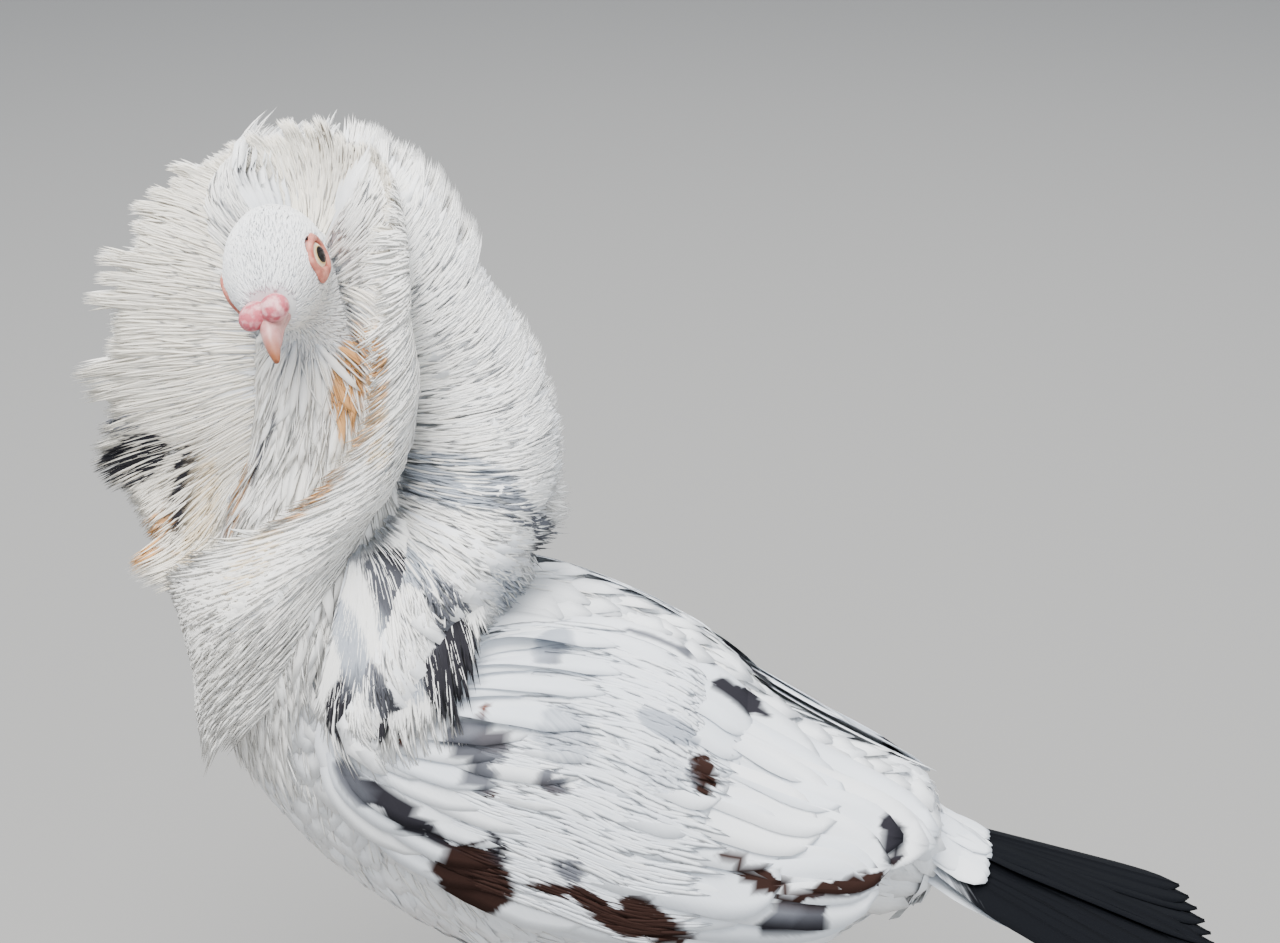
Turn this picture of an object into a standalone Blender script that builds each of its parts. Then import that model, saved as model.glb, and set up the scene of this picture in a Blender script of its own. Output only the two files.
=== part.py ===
# A jacobin pigeon as a still, life-size model: body, neck, head, ruff, wings, tail, legs and claws.
# Metres, +Z up. The bird stands on z = 0, its breast towards -Y, its own left towards +X.
# It looks round over its left side, and the ruff of the neck turns with the head.
import math
import random

import bmesh
import bpy
from mathutils import Matrix, Vector

COLLECTION_NAME = "jacobin_pigeon"
MM = 0.001
GAP = 0.3
SLIVER = 0.003
FLAT_ANGLE = math.radians(1.2)
# Middle of the bird's box in the design's own frame, which becomes the origin.
CENTRE = (-4.35, 31.7)

# Body axis from the neck's root to the tail's root: y, z, then half sizes up, down and sideways.
BODY = [
    (-45, 152, 30, 37, 33),
    (-32, 138, 36, 43, 37),
    (-12, 127, 42, 48, 39),
    (8, 117, 44, 48, 39.5),
    (28, 108, 43, 45, 38),
    (48, 104, 35, 38, 32),
    (66, 104, 25, 28, 25),
    (82, 106, 16, 18, 18),
    (94, 108, 9.5, 10, 13),
]
BODY_RINGS, BODY_SIDES = 14, 20

# Neck axis from the body to the head: x, y, z and radius.
NECK = [
    (0, -45, 152, 33),
    (0, -47, 175, 27),
    (-4, -46, 200, 19.5),
    (-5.5, -50, 224, 15.5),
    (-4, -53, 240, 12.5),
    (-2, -56, 247, 10),
]
NECK_RINGS, NECK_SIDES = 8, 16

# Head: middle between the eyes, and its own directions forwards, to its left and up.
EYES_MIDDLE = Vector((8, -57.6, 246))
HEAD_FORWARD = Vector((0.976, 0.008, -0.213)).normalized()
HEAD_UP = HEAD_FORWARD.cross(Vector((0.0854, 0.900, 0.4277))).normalized()
HEAD_LEFT = HEAD_UP.cross(HEAD_FORWARD)
# Stations along the head: forward place, half width, height above and below the eye line.
HEAD = [
    (-19, 2.5, 4, 2),
    (-17.5, 6, 8, 6),
    (-14, 9.3, 11.5, 10),
    (-9, 11.6, 13.7, 13),
    (-3, 12.4, 14.4, 14),
    (3, 11.8, 13.6, 13.4),
    (8, 9.8, 11, 12),
    (12, 7.4, 7.6, 10),
    (14.5, 5.4, 4.6, 7.6),
]
HEAD_SIDES = 18
EYE_RADIUS, EYE_OUT = 4.8, 8.2
LID_LENGTH, LID_HEIGHT, LID_THICK = 5.6, 4.7, 1.15
LID_STEPS, LID_SIDES = 12, 4

# Bill: forward place, height of the line of the mouth, half width, height above and depth below that line.
BILL = [
    (14.8, -4.8, 3.6, 5.0, 1.9),
    (18, -5.0, 2.9, 4.4, 1.8),
    (21.3, -5.9, 2.3, 3.7, 1.6),
    (24.2, -7.6, 1.6, 2.9, 1.2),
    (26.4, -9.8, 0.7, 1.7, 0.5),
]
BILL_LOWER_END = 2.75
CERE_FORWARD, CERE_UP, CERE_OUT, CERE_SIZE = 15.6, 1.3, 2.7, (3.6, 2.9, 2.5)

# Ruff, in a frame that turns about the neck: forward, left and height from the eye line.
EYE_LEVEL = 246.0
RUFF_AXIS_BACK = 15.0
# Turn of the ruff towards the bird's left against its height.
RUFF_TURN = [(-100, 12), (-84, 24), (-66, 42), (-46, 57), (-24, 65), (40, 65)]
# Hood and chains from the foot of the right chain over the top to the foot of the left one: root, middle, tip.
FRONT = [
    ((-8, -18, -76), (2, -28, -82), (23, -25, -80)),
    ((-9, -18, -56), (-2, -36, -58), (15, -48, -62)),
    ((-11, -15, -33), (-5, -34, -34), (13, -49, -35)),
    ((-13, -14, -8), (-10, -32, -4), (8, -41, 1)),
    ((-17, -9, 2), (-22, -22, 16), (-9, -29, 22)),
    ((-20, 0, 2), (-28, 0, 17), (-21, 0, 30)),
    ((-17, 9, 2), (-22, 24, 15), (-11, 27, 25)),
    ((-13, 14, -9), (-6, 47, -6), (14, 33, 0)),
    ((-10, 16, -36), (0, 46, -38), (23, 23, -36)),
    ((-8, 20, -62), (24, 36, -72), (25, -12, -74)),
    ((-8, 24, -84), (28, 28, -98), (19, 2, -103)),
]
REGION_HALF = 3.8
HOOD_SHARE = 0.4
# The mane's outer shape: height, reach behind the eye line and reach to each side.
MANE = [
    (28, -32, 18),
    (20, -41, 31),
    (4, -52, 40),
    (-10, -61, 46),
    (-24, -67, 51),
    (-37, -70, 54),
    (-51, -69, 54),
    (-66, -66, 52),
    (-80, -60, 46),
    (-92, -55, 48),
    (-102, -50, 46),
]

# Feathers of the solids: thickness at the root and at the tip, and the seed of their small differences.
LOCK_THICK, FEATHER_THICK, VANE_EDGE = 1.0, 0.8, 0.5
# Half width of a lock against the spacing of its neighbours, so that each covers the edge of the next.
LOCK_HALF = 0.61
SEED = 7
# Locks in each layer: height over the middle of the sheet, spacing along the rim and places of their sections.
FRONT_LAYERS = [(-1.4, 0.068, (0.1, 0.4, 0.72, 1.0)), (1.4, 0.08, (0.1, 0.4, 0.72, 0.87))]
FRONT_CORE_SHARE, FRONT_LEAN, FRONT_EDGE = 0.42, 0.75, 0.003
# Mane: height of a lock's root against the height of its tip, from the hood down to the shoulders.
MANE_FAN = [(-84, -99), (-70, -80), (-55, -56), (-40, -32), (-25, -8), (-10, 14), (2, 27)]
# Columns of the mane from its sides to the middle of the back: angle of the roots from straight back,
# angle of the tips, how far the lock bulges sideways and back on its way, and number of locks.
MANE_COLUMNS = [(88, 60, 1.16, 0.0, 8), (58, 34, 0.86, 0.45, 7), (22, 10, 0.34, 0.7, 7)]
MANE_PLACES = (0.0, 0.35, 0.7, 1.0)
MANE_CORE_SHARE, MANE_LEAN = 0.36, 0.9
MANE_CORE_HEIGHTS, MANE_CORE_SIDES = (14, 0, -16, -32, -48, -64, -80, -94), 16

# Wing: y and z of its axis from the bend of the wing to its tip, half sizes up and out, and the
# angles from straight up at which its upper and lower edges lie.
WING = [
    (-39, 146, 33, 36, 62, 92),
    (-32, 138, 41, 42, 38, 108),
    (-12, 127, 47, 46, 20, 112),
    (8, 117, 48.5, 47.5, 13, 108),
    (28, 108, 47, 47.5, 12, 106),
    (48, 104, 40, 46, 14, 102),
    (66, 103, 31, 43, 18, 98),
    (82, 101, 25, 37, 24, 93),
    (95, 97, 21, 31, 30, 88),
    (108, 92, 18, 25, 34, 84),
    (126, 85, 16, 19, 38, 80),
]
WING_DEPTH, WING_PAD_END, WING_LEAN = 6.2, 6.2, 0.9
WING_PLACES = (0, 0.4, 0.8, 1)
# Height of the pad's outer side under the wing's outer face, along the wing.
WING_PAD = [(0, -0.6), (1.1, -1.9), (1.9, -3.0), (3.0, -3.6), (6.2, -4.3)]
# Tiers of the wing: where the feathers start and end along it, the range of its height that they cover
# at their roots and tips, their number, their height at the tip, how fast they sink towards the root
# and their half width against their spacing.
WING_TIERS = [
    ("primaries", (3.4, 7.1), (0.62, 0.98), (0.58, 0.96), 4, -4.6, 0.0, 0.64),
    ("secondaries", (3.0, 7.7), (0.08, 0.92), (0.1, 0.88), 6, -0.9, 0.8, 0.6),
    ("greater coverts", (1.9, 5.0), (0.08, 0.94), (0.06, 0.94), 5, 0.4, 1.4, 0.58),
    ("median coverts", (1.1, 3.6), (0.08, 0.93), (0.05, 0.94), 5, 1.0, 1.5, 0.58),
    ("lesser coverts", (0.3, 2.3), (0.1, 0.9), (0.06, 0.92), 4, 1.6, 1.6, 0.58),
]

# Tail: its feathers run down and back from the body's end.
TAIL_LENGTH = 79.0
TAIL_DROP = math.radians(22)
TAIL_FEATHERS, TAIL_SPREAD, TAIL_HALF_WIDTH, TAIL_BASE = 12, math.radians(20.5), 7.4, 9.5
TAIL_COVERTS = [(28, 4, 4.2, 6.4), (20, 4, 5.4, 6.0), (42, 4, -4.0, 6.0)]

# Left leg from the thigh to the foot: x, y, z and radius.
LEG = [
    (19, 4, 96, 15),
    (20.5, 8, 78, 13.5),
    (21.5, 12, 62, 10.5),
    (21.5, 13.5, 48, 7),
    (21, 13, 39, 3.6),
    (21, 9, 30, 2.5),
    (20.5, 4, 18, 2.4),
    (20.3, 0.5, 8, 2.9),
    (20.2, -0.5, 4.2, 2.8),
]
# Toes of the left foot: turn from straight ahead and length.
TOES = [(-16, 22), (4, 28), (26, 24), (176, 15)]
# Along a toe: share of its length, height of its middle and radius.
TOE = [(0.0, 3.4, 2.7), (0.22, 3.2, 2.2), (0.45, 1.6, 2.3), (0.62, 1.9, 1.9), (0.8, 1.2, 1.9), (1.0, 1.7, 1.3)]
# Along a claw: share of its length, drop and radius.
CLAW = [(0.0, 0, 1.05), (0.35, 0.1, 0.9), (0.7, 0.55, 0.6), (1.0, 1.25, 0.3)]
LEG_RINGS, LEG_SIDES, TOE_SIDES, CLAW_SIDES = 12, 8, 6, 5
CLAW_LENGTH = 6.5

collection = None


def lerp(a, b, t):
    return a + (b - a) * t


def spline(rows, t):
    """Reads a smooth curve through rows of numbers, one row to each unit of t, and straight on past its ends."""
    last = len(rows) - 1
    if t < 0 or t > last:
        end, step = (0, 0.05) if t < 0 else (last, -0.05)
        at, near = spline(rows, end), spline(rows, end + step)
        return [a + (b - a) * (t - end) / step for a, b in zip(at, near)]
    i = min(int(t), last - 1)
    f = t - i
    p = [rows[max(i - 1, 0)], rows[i], rows[i + 1], rows[min(i + 2, last)]]
    out = []
    for a, b, c, d in zip(*p):
        out.append(0.5 * (2 * b + (c - a) * f + (2 * a - 5 * b + 4 * c - d) * f * f + (3 * b - a - 3 * c + d) * f**3))
    return out


def material(name, colour, roughness):
    mat = bpy.data.materials.get(name)
    if mat is None:
        mat = bpy.data.materials.new(name)
        mat.use_nodes = True
        shader = mat.node_tree.nodes["Principled BSDF"]
        shader.inputs["Base Color"].default_value = (*colour, 1)
        shader.inputs["Roughness"].default_value = roughness
        shader.inputs["Metallic"].default_value = 0.0
    return mat


def white_plumage():
    return material("white_plumage", (0.86, 0.85, 0.82), 0.85)


def bare_skin():
    return material("bare_skin", (0.72, 0.36, 0.3), 0.5)


def horn():
    return material("horn", (0.62, 0.4, 0.3), 0.4)


def claw_horn():
    return material("claw_horn", (0.16, 0.12, 0.1), 0.4)


def eye_gloss():
    return material("eye_gloss", (0.03, 0.02, 0.02), 0.08)


def new_object(name, bm, mat=None):
    bmesh.ops.recalc_face_normals(bm, faces=bm.faces)
    mesh = bpy.data.meshes.new(name)
    bm.to_mesh(mesh)
    bm.free()
    obj = bpy.data.objects.new(name, mesh)
    collection.objects.link(obj)
    if mat is not None:
        mesh.materials.append(mat)
    return obj


def loft(name, rings, mat=None):
    """A closed solid through rings of points, given in millimetres, with a flat cap at each end."""
    bm = bmesh.new()
    rows = [[bm.verts.new(Vector(p) * MM) for p in ring] for ring in rings]
    # Triangles, so that a body and the cutter grown from it fold along the same lines.
    for a, b in zip(rows, rows[1:]):
        n = len(a)
        for k in range(n):
            bm.faces.new((a[k], a[(k + 1) % n], b[(k + 1) % n]))
            bm.faces.new((a[k], b[(k + 1) % n], b[k]))
    bm.faces.new(rows[0][::-1])
    bm.faces.new(rows[-1])
    return new_object(name, bm, mat)


def sheet_solid(name, point, normal_out, u_range, v_range, counts, thick, mat=None):
    """A closed solid on both sides of a surface point(u, v), with thick(u, v) millimetres between them."""
    nu, nv = counts
    bm = bmesh.new()
    layers = [[], []]
    for i in range(nu + 1):
        u = lerp(*u_range, i / nu)
        rows = [[], []]
        for j in range(nv + 1):
            v = lerp(*v_range, j / nv)
            p = point(u, v)
            n = normal_out(u, v)
            t = thick(u, v) / 2
            rows[0].append(bm.verts.new((p + n * t) * MM))
            rows[1].append(bm.verts.new((p - n * t) * MM))
        layers[0].append(rows[0])
        layers[1].append(rows[1])
    # Both faces are split along the same diagonals, so that a thin sheet never crosses itself.
    top, bottom = layers
    for i in range(nu):
        for j in range(nv):
            for corners in (((0, 0), (1, 0), (1, 1)), ((0, 0), (1, 1), (0, 1))):
                bm.faces.new([top[i + x][j + y] for x, y in corners])
                bm.faces.new([bottom[i + x][j + y] for x, y in reversed(corners)])
    for i in range(nu):
        bm.faces.new((top[i][0], bottom[i][0], bottom[i + 1][0], top[i + 1][0]))
        bm.faces.new((top[i][nv], top[i + 1][nv], bottom[i + 1][nv], bottom[i][nv]))
    for j in range(nv):
        bm.faces.new((top[0][j], top[0][j + 1], bottom[0][j + 1], bottom[0][j]))
        bm.faces.new((top[nu][j], bottom[nu][j], bottom[nu][j + 1], top[nu][j + 1]))
    return new_object(name, bm, mat)


def vane(name, path, half_width, tilt, stations):
    """A flat tail feather along path(t), which gives a point and the normal of the tail there."""
    bm = bmesh.new()
    rows = []
    for t in stations:
        p, n = path(t)
        along = (path(min(t + 0.04, 1))[0] - path(max(t - 0.04, 0))[0]).normalized()
        side = along.cross(n).normalized()
        up = side.cross(along)
        side, up = side * math.cos(tilt) + up * math.sin(tilt), up * math.cos(tilt) - side * math.sin(tilt)
        s, h = side * half_width(t), up * (lerp(FEATHER_THICK, VANE_EDGE, t) / 2)
        rows.append([bm.verts.new(q * MM) for q in (p + s + h, p - s + h, p - s - h, p + s - h)])
    for a, b in zip(rows, rows[1:]):
        for i, j in ((0, 1), (3, 2)):
            bm.faces.new((a[i], a[j], b[j]))
            bm.faces.new((a[i], b[j], b[i]))
        for i, j in ((1, 2), (3, 0)):
            bm.faces.new((a[i], a[j], b[j], b[i]))
    bm.faces.new(rows[0])
    bm.faces.new(rows[-1])
    return new_object(name, bm)


def sheet_vane(name, point, facing, middle, half, places, lift, lean, thick, limits=None):
    """A lock or feather on a sheet point(u, v): its two edges run beside u = middle(t) and it leans to one side.

    Facing is 1 where the sheet's own normal points out of the coat and -1 where it points in.
    """
    bm = bmesh.new()
    rows = []
    widest = max(half(i / 10) for i in range(11))
    for v in places:
        t = (v - places[0]) / (places[-1] - places[0])
        edge = lerp(thick, VANE_EDGE, t) / 2
        corners = []
        for hand in (1, -1):
            u = middle(t) + hand * half(t)
            if limits:
                u = min(max(u, limits[0]), limits[1])
            n = surface_normal(point, u, v) * facing
            base = point(u, v) + n * (lift(t) + hand * lean * half(t) / widest)
            corners += [base + n * edge * hand, base - n * edge * hand]
        rows.append([bm.verts.new(q * MM) for q in (corners[0], corners[3], corners[2], corners[1])])
    for a, b in zip(rows, rows[1:]):
        for i, j in ((0, 1), (3, 2)):
            bm.faces.new((a[i], a[j], b[j]))
            bm.faces.new((a[i], b[j], b[i]))
        for i, j in ((1, 2), (3, 0)):
            bm.faces.new((a[i], a[j], b[j], b[i]))
    bm.faces.new(rows[0])
    bm.faces.new(rows[-1])
    return new_object(name, bm)


def lock_width(widest):
    """A lock of the ruff: narrow at its root, widest past its middle and drawn out to a fine tip."""
    return lambda t: widest * (lerp(0.45, 1, t / 0.5) if t < 0.5 else 1 - 0.88 * ((t - 0.5) / 0.5) ** 2)


def feather_width(widest):
    """A wing or tail feather: nearly parallel edges and a round end."""
    return lambda t: widest * (lerp(0.7, 1, t / 0.5) if t < 0.5 else 1 - 0.62 * max(0, (t - 0.8) / 0.2) ** 2)


def boolean(obj, operand, operation, solver="EXACT"):
    """Applies a Boolean of one object, or of a whole collection, and removes the operand."""
    mod = obj.modifiers.new("boolean", "BOOLEAN")
    mod.operation = operation
    mod.solver = solver
    if isinstance(operand, bpy.types.Collection):
        mod.operand_type = "COLLECTION"
        mod.collection = operand
    else:
        mod.object = operand
    graph = bpy.context.evaluated_depsgraph_get()
    mesh = bpy.data.meshes.new_from_object(obj.evaluated_get(graph))
    old = obj.data
    obj.modifiers.clear()
    obj.data = mesh
    mesh.name = old.name
    bpy.data.meshes.remove(old)
    if isinstance(operand, bpy.types.Collection):
        for piece in list(operand.objects):
            bpy.data.objects.remove(piece)
        bpy.data.collections.remove(operand)
    else:
        bpy.data.objects.remove(operand)


def fuse(obj, pieces, solver="EXACT"):
    """Joins the pieces to the object by one union on a collection."""
    group = bpy.data.collections.new("pieces")
    bpy.context.scene.collection.children.link(group)
    for piece in pieces:
        collection.objects.unlink(piece)
        group.objects.link(piece)
    boolean(obj, group, "UNION", solver)


def keep_largest(obj):
    """Keeps only the largest closed surface of a mesh."""
    bm = bmesh.new()
    bm.from_mesh(obj.data)
    bmesh.ops.triangulate(bm, faces=bm.faces)
    bmesh.ops.dissolve_degenerate(bm, dist=SLIVER * MM, edges=bm.edges)
    seen, best, best_size = set(), None, -1.0
    for start in bm.faces:
        if start in seen:
            continue
        shell, stack = [], [start]
        seen.add(start)
        while stack:
            face = stack.pop()
            shell.append(face)
            for edge in face.edges:
                for other in edge.link_faces if len(edge.link_faces) == 2 else ():
                    if other not in seen:
                        seen.add(other)
                        stack.append(other)
        size = sum(f.calc_area() for f in shell)
        if size > best_size:
            best, best_size = set(shell), size
    drop = [f for f in bm.faces if f not in best]
    bmesh.ops.delete(bm, geom=drop, context="FACES")
    loose = [v for v in bm.verts if not v.link_faces]
    bmesh.ops.delete(bm, geom=loose, context="VERTS")
    bmesh.ops.dissolve_limit(bm, angle_limit=FLAT_ANGLE, verts=bm.verts, edges=bm.edges)
    bmesh.ops.triangulate(bm, faces=bm.faces)
    bm.to_mesh(obj.data)
    bm.free()


def cut(obj, cutters, solver="EXACT"):
    for cutter in cutters:
        boolean(obj, cutter, "DIFFERENCE", solver)
    keep_largest(obj)


def body_frame(a):
    y, z, up, down, side = spline(BODY, a)
    ahead, behind = spline(BODY, a + 0.25), spline(BODY, a - 0.25)
    along = Vector((0, ahead[0] - behind[0], ahead[1] - behind[1])).normalized()
    return Vector((0, y, z)), along, Vector((0, -along.z, along.y)), up, down, side


def body_point(a, phi, grow=0.0):
    """A point of the body's surface: phi runs from the back (0) over the left side to the belly."""
    centre, _, upward, up, down, side = body_frame(a)
    c, s = math.cos(phi), math.sin(phi)
    high = (up if c > 0 else down) + grow
    return centre + upward * (c * high) + Vector((1, 0, 0)) * (s * (side + grow))


def torso_solid(name, grow=0.0, mat=None):
    rings = []
    last = len(BODY) - 1
    for i in range(BODY_RINGS + 1):
        a = last * i / BODY_RINGS
        rings.append([body_point(a, 2 * math.pi * k / BODY_SIDES, grow) for k in range(BODY_SIDES)])
    if grow:
        along0, along1 = body_frame(0)[1], body_frame(last)[1]
        rings[0] = [p - along0 * grow for p in rings[0]]
        rings[-1] = [p + along1 * grow for p in rings[-1]]
    return loft(name, rings, mat)


def neck_solid(name, grow=0.0, mat=None):
    """The neck grows out of the body's front section and narrows into a round tube under the head."""
    rings = []
    last = len(NECK) - 1
    _, along_body, up_body, up, down, wide = body_frame(0)
    for i in range(NECK_RINGS + 1):
        a = last * i / NECK_RINGS
        x, y, z, r = spline(NECK, a)
        ahead, behind = spline(NECK, a + 0.2), spline(NECK, a - 0.2)
        blend = min(a / 1.5, 1.0)
        axis = (Vector(ahead[:3]) - Vector(behind[:3])).normalized()
        axis = ((-along_body) * (1 - blend) + axis * blend).normalized()
        back = axis.cross(Vector((1, 0, 0))).normalized()
        side = back.cross(axis).normalized()
        centre = Vector((x, y, z)) + (axis * (GAP - grow) if i == 0 else Vector())
        ring = []
        for k in range(NECK_SIDES):
            phi = 2 * math.pi * k / NECK_SIDES
            c, s = math.cos(phi), math.sin(phi)
            high = lerp(down if c > 0 else up, r, blend) + grow
            ring.append(centre + back * (-c * high) + side * (s * (lerp(wide, r, blend) + grow)))
        rings.append(ring)
    return loft(name, rings, mat)


def head_place(forward, left, up):
    return EYES_MIDDLE + HEAD_FORWARD * forward + HEAD_LEFT * left + HEAD_UP * up


def head_shape(name, grow=0.0, mat=None):
    rings = []
    for i, (f, w, high, low) in enumerate(HEAD):
        if grow:
            f += grow * (-1 if i == 0 else 1 if i == len(HEAD) - 1 else 0)
        ring = []
        for k in range(HEAD_SIDES):
            phi = 2 * math.pi * k / HEAD_SIDES
            c, s = math.cos(phi), math.sin(phi)
            ring.append(head_place(f, s * (w + grow), c * ((high if c > 0 else low) + grow)))
        rings.append(ring)
    return loft(name, rings, mat)


def ball(name, centre, radius, turn=None, size=(1, 1, 1), segments=16, rings=10, mat=None):
    bm = bmesh.new()
    bmesh.ops.create_uvsphere(bm, u_segments=segments, v_segments=rings, radius=radius * MM)
    bm.transform(Matrix.Diagonal((*size, 1)))
    if turn is not None:
        bm.transform(turn)
    bm.transform(Matrix.Translation(Vector(centre) * MM))
    return new_object(name, bm, mat)


def head_turn():
    """The head's directions as a rotation: X forwards, Y to its left, Z up."""
    m = Matrix((HEAD_FORWARD, HEAD_LEFT, HEAD_UP)).transposed()
    return m.to_4x4()


def lid_ring(name, side):
    """The thick almond rim of bare skin round one eye."""
    rings = []
    for i in range(LID_STEPS):
        t = 2 * math.pi * i / LID_STEPS
        out = EYE_OUT + 3.0
        middle = Vector((LID_LENGTH * math.cos(t), 0, LID_HEIGHT * math.sin(t)))
        radial = Vector((math.cos(t), 0, math.sin(t)))
        ring = []
        for k in range(LID_SIDES):
            b = 2 * math.pi * k / LID_SIDES
            p = middle + radial * (LID_THICK * math.cos(b)) + Vector((0, LID_THICK * 1.2 * math.sin(b), 0))
            ring.append(head_place(p.x, side * (out + p.y - 0.05 * abs(p.x) ** 1.5), p.z))
        rings.append(ring)
    bm = bmesh.new()
    rows = [[bm.verts.new(p * MM) for p in ring] for ring in rings]
    for a, b in zip(rows, rows[1:] + rows[:1]):
        for k in range(LID_SIDES):
            bm.faces.new((a[k], a[(k + 1) % LID_SIDES], b[(k + 1) % LID_SIDES], b[k]))
    return new_object(name, bm)


def make_head():
    head = head_shape("head", mat=white_plumage())
    fuse(head, [lid_ring("lid", side) for side in (-1, 1)])
    for side in (-1, 1):
        where = head_place(0, side * EYE_OUT, 0)
        boolean(head, ball("socket", where, EYE_RADIUS + GAP, head_turn(), segments=12, rings=6), "DIFFERENCE")
    # The line of the mouth runs back into the face as a shallow slot.
    bm = bmesh.new()
    bmesh.ops.create_cube(bm, size=1)
    bm.transform(Matrix.Diagonal((5.0 * MM, 14 * MM, 0.5 * MM, 1)))
    bm.transform(Matrix.Translation(head_place(14.0, 0, -4.9) * MM) @ head_turn())
    boolean(head, new_object("mouth", bm), "DIFFERENCE")
    keep_largest(head)
    return head


def make_eyes():
    for name, side in (("eye_left", 1), ("eye_right", -1)):
        ball(name, head_place(0, side * EYE_OUT, 0), EYE_RADIUS, head_turn(), segments=12, rings=6, mat=eye_gloss())


def bill_part(name, upper, last, mat):
    """Half a bill: a round outer side over a flat face along the line of the mouth."""
    rings = []
    sign = 1 if upper else -1
    for i in range(8):
        f, mouth, w, above, below = spline(BILL, last * i / 7)
        h = above if upper else below
        ring = []
        for k in range(9):
            phi = math.pi * (k / 8 - 0.5)
            ring.append(head_place(f, w * math.sin(phi), mouth + sign * (GAP / 2 + h * math.cos(phi))))
        for share in (0.5, 0, -0.5):
            ring.append(head_place(f, w * share, mouth + sign * GAP / 2))
        rings.append(ring)
    return loft(name, rings, mat)


def slab_box(name, place, size):
    bm = bmesh.new()
    bmesh.ops.create_cube(bm, size=1)
    bm.transform(Matrix.Diagonal((*(s * MM for s in size), 1)))
    bm.transform(Matrix.Translation(place * MM) @ head_turn())
    return new_object(name, bm)


def make_bill():
    upper = bill_part("bill_upper", True, len(BILL) - 1, horn())
    bill_part("bill_lower", False, BILL_LOWER_END, horn())
    bulbs = [
        ball("bulb", head_place(CERE_FORWARD + 1.6, side * CERE_OUT, CERE_UP), 1.0, head_turn(), CERE_SIZE, 9, 6)
        for side in (-1, 1)
    ]
    cere = bulbs[0]
    cere.name = "cere"
    cere.data.materials.append(bare_skin())
    fuse(cere, bulbs[1:])
    # The cere sits on the bill, and both start clear of the face.
    cut(cere, [slab_box("face", head_place(4.85, 0, 0), (20, 40, 40))])
    boolean(upper, grown_copy(cere, GAP), "DIFFERENCE")
    for side in (-1, 1):
        nostril = ball("nostril", head_place(20.2, side * 2.5, -2.4), 1.0, head_turn(), (1.5, 0.8, 0.35), 10, 6)
        boolean(upper, nostril, "DIFFERENCE")
    keep_largest(upper)


def grown_copy(obj, grow):
    """A cutter: the object's own mesh pushed out along its normals."""
    bm = bmesh.new()
    bm.from_mesh(obj.data)
    bm.normal_update()
    bmesh.ops.triangulate(bm, faces=bm.faces)
    moves = [v.normal * grow * MM * 1.15 for v in bm.verts]
    for v, move in zip(bm.verts, moves):
        v.co += move
    return new_object("grown", bm)


def neck_axis(height):
    rows = sorted((z - EYE_LEVEL, x, y) for x, y, z, _ in NECK[:5])
    return Vector((*read_linear(rows, height), 0))


def read_linear(rows, key):
    lo = rows[0]
    if key <= lo[0]:
        return list(lo[1:])
    for hi in rows[1:]:
        if key <= hi[0]:
            t = (key - lo[0]) / (hi[0] - lo[0])
            return [lerp(a, b, t) for a, b in zip(lo[1:], hi[1:])]
        lo = hi
    return list(lo[1:])


def ruff_place(forward, left, height):
    """Turns the ruff's own directions, which twist round the neck, into the bird's frame."""
    turn = math.radians(read_linear(RUFF_TURN, height)[0])
    ahead = Vector((math.sin(turn), -math.cos(turn), 0))
    across = Vector((math.cos(turn), math.sin(turn), 0))
    p = neck_axis(height) + ahead * (forward + RUFF_AXIS_BACK) + across * left
    return Vector((p.x, p.y, EYE_LEVEL + height))


def front_local(u, v):
    """Hood and chains: u is 0 at the top of the hood and -1 or 1 at the foot of a chain, v runs out."""
    rows = [root + middle + tip for root, middle, tip in FRONT]
    n = spline(rows, (u + 1) / 2 * (len(FRONT) - 1))
    root, middle, tip = Vector(n[0:3]), Vector(n[3:6]), Vector(n[6:9])
    return root * (1 - v) ** 2 + middle * 2 * v * (1 - v) + tip * v * v


def front_point(u, v):
    return ruff_place(*front_local(u, v))


def surface_normal(point, u, v, step=0.02):
    du = point(u + step, v) - point(u - step, v)
    dv = point(u, v + step) - point(u, v - step)
    n = du.cross(dv)
    return n.normalized()


def front_normal(u, v):
    return surface_normal(front_point, u, v)


def front_shell(name, u_range, v_range, thick, mat=None, density=(24, 6)):
    counts = [max(4, round((end - start) * n)) for (start, end), n in zip((u_range, v_range), density)]
    return sheet_solid(name, front_point, front_normal, u_range, v_range, counts, thick, mat)


def mane_reach(height):
    """How far back from the neck's axis, and how far to each side, the mane reaches at a height."""
    rows = sorted(MANE)
    back, side = read_linear(rows, height)
    return -RUFF_AXIS_BACK - back, side


def mane_core(name, mat=None):
    """The thick middle of the mane: rings round the neck that reach part of the way to the tips."""
    rings = []
    for height in MANE_CORE_HEIGHTS:
        radius = neck_radius(height)
        back, side = mane_reach(height)
        ring = []
        for k in range(MANE_CORE_SIDES):
            phi = 2 * math.pi * k / MANE_CORE_SIDES
            c, s = math.cos(phi), math.sin(phi)
            reach = lerp(radius, back, MANE_CORE_SHARE) if c < 0 else 6
            wide = lerp(radius, side, MANE_CORE_SHARE)
            ring.append(ruff_place(-RUFF_AXIS_BACK + c * reach, s * wide, height))
        rings.append(ring[::-1])
    return loft(name, rings, mat)


def neck_radius(height):
    rows = sorted((z - EYE_LEVEL, r) for _, _, z, r in NECK)
    return read_linear(rows, height)[0]


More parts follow.
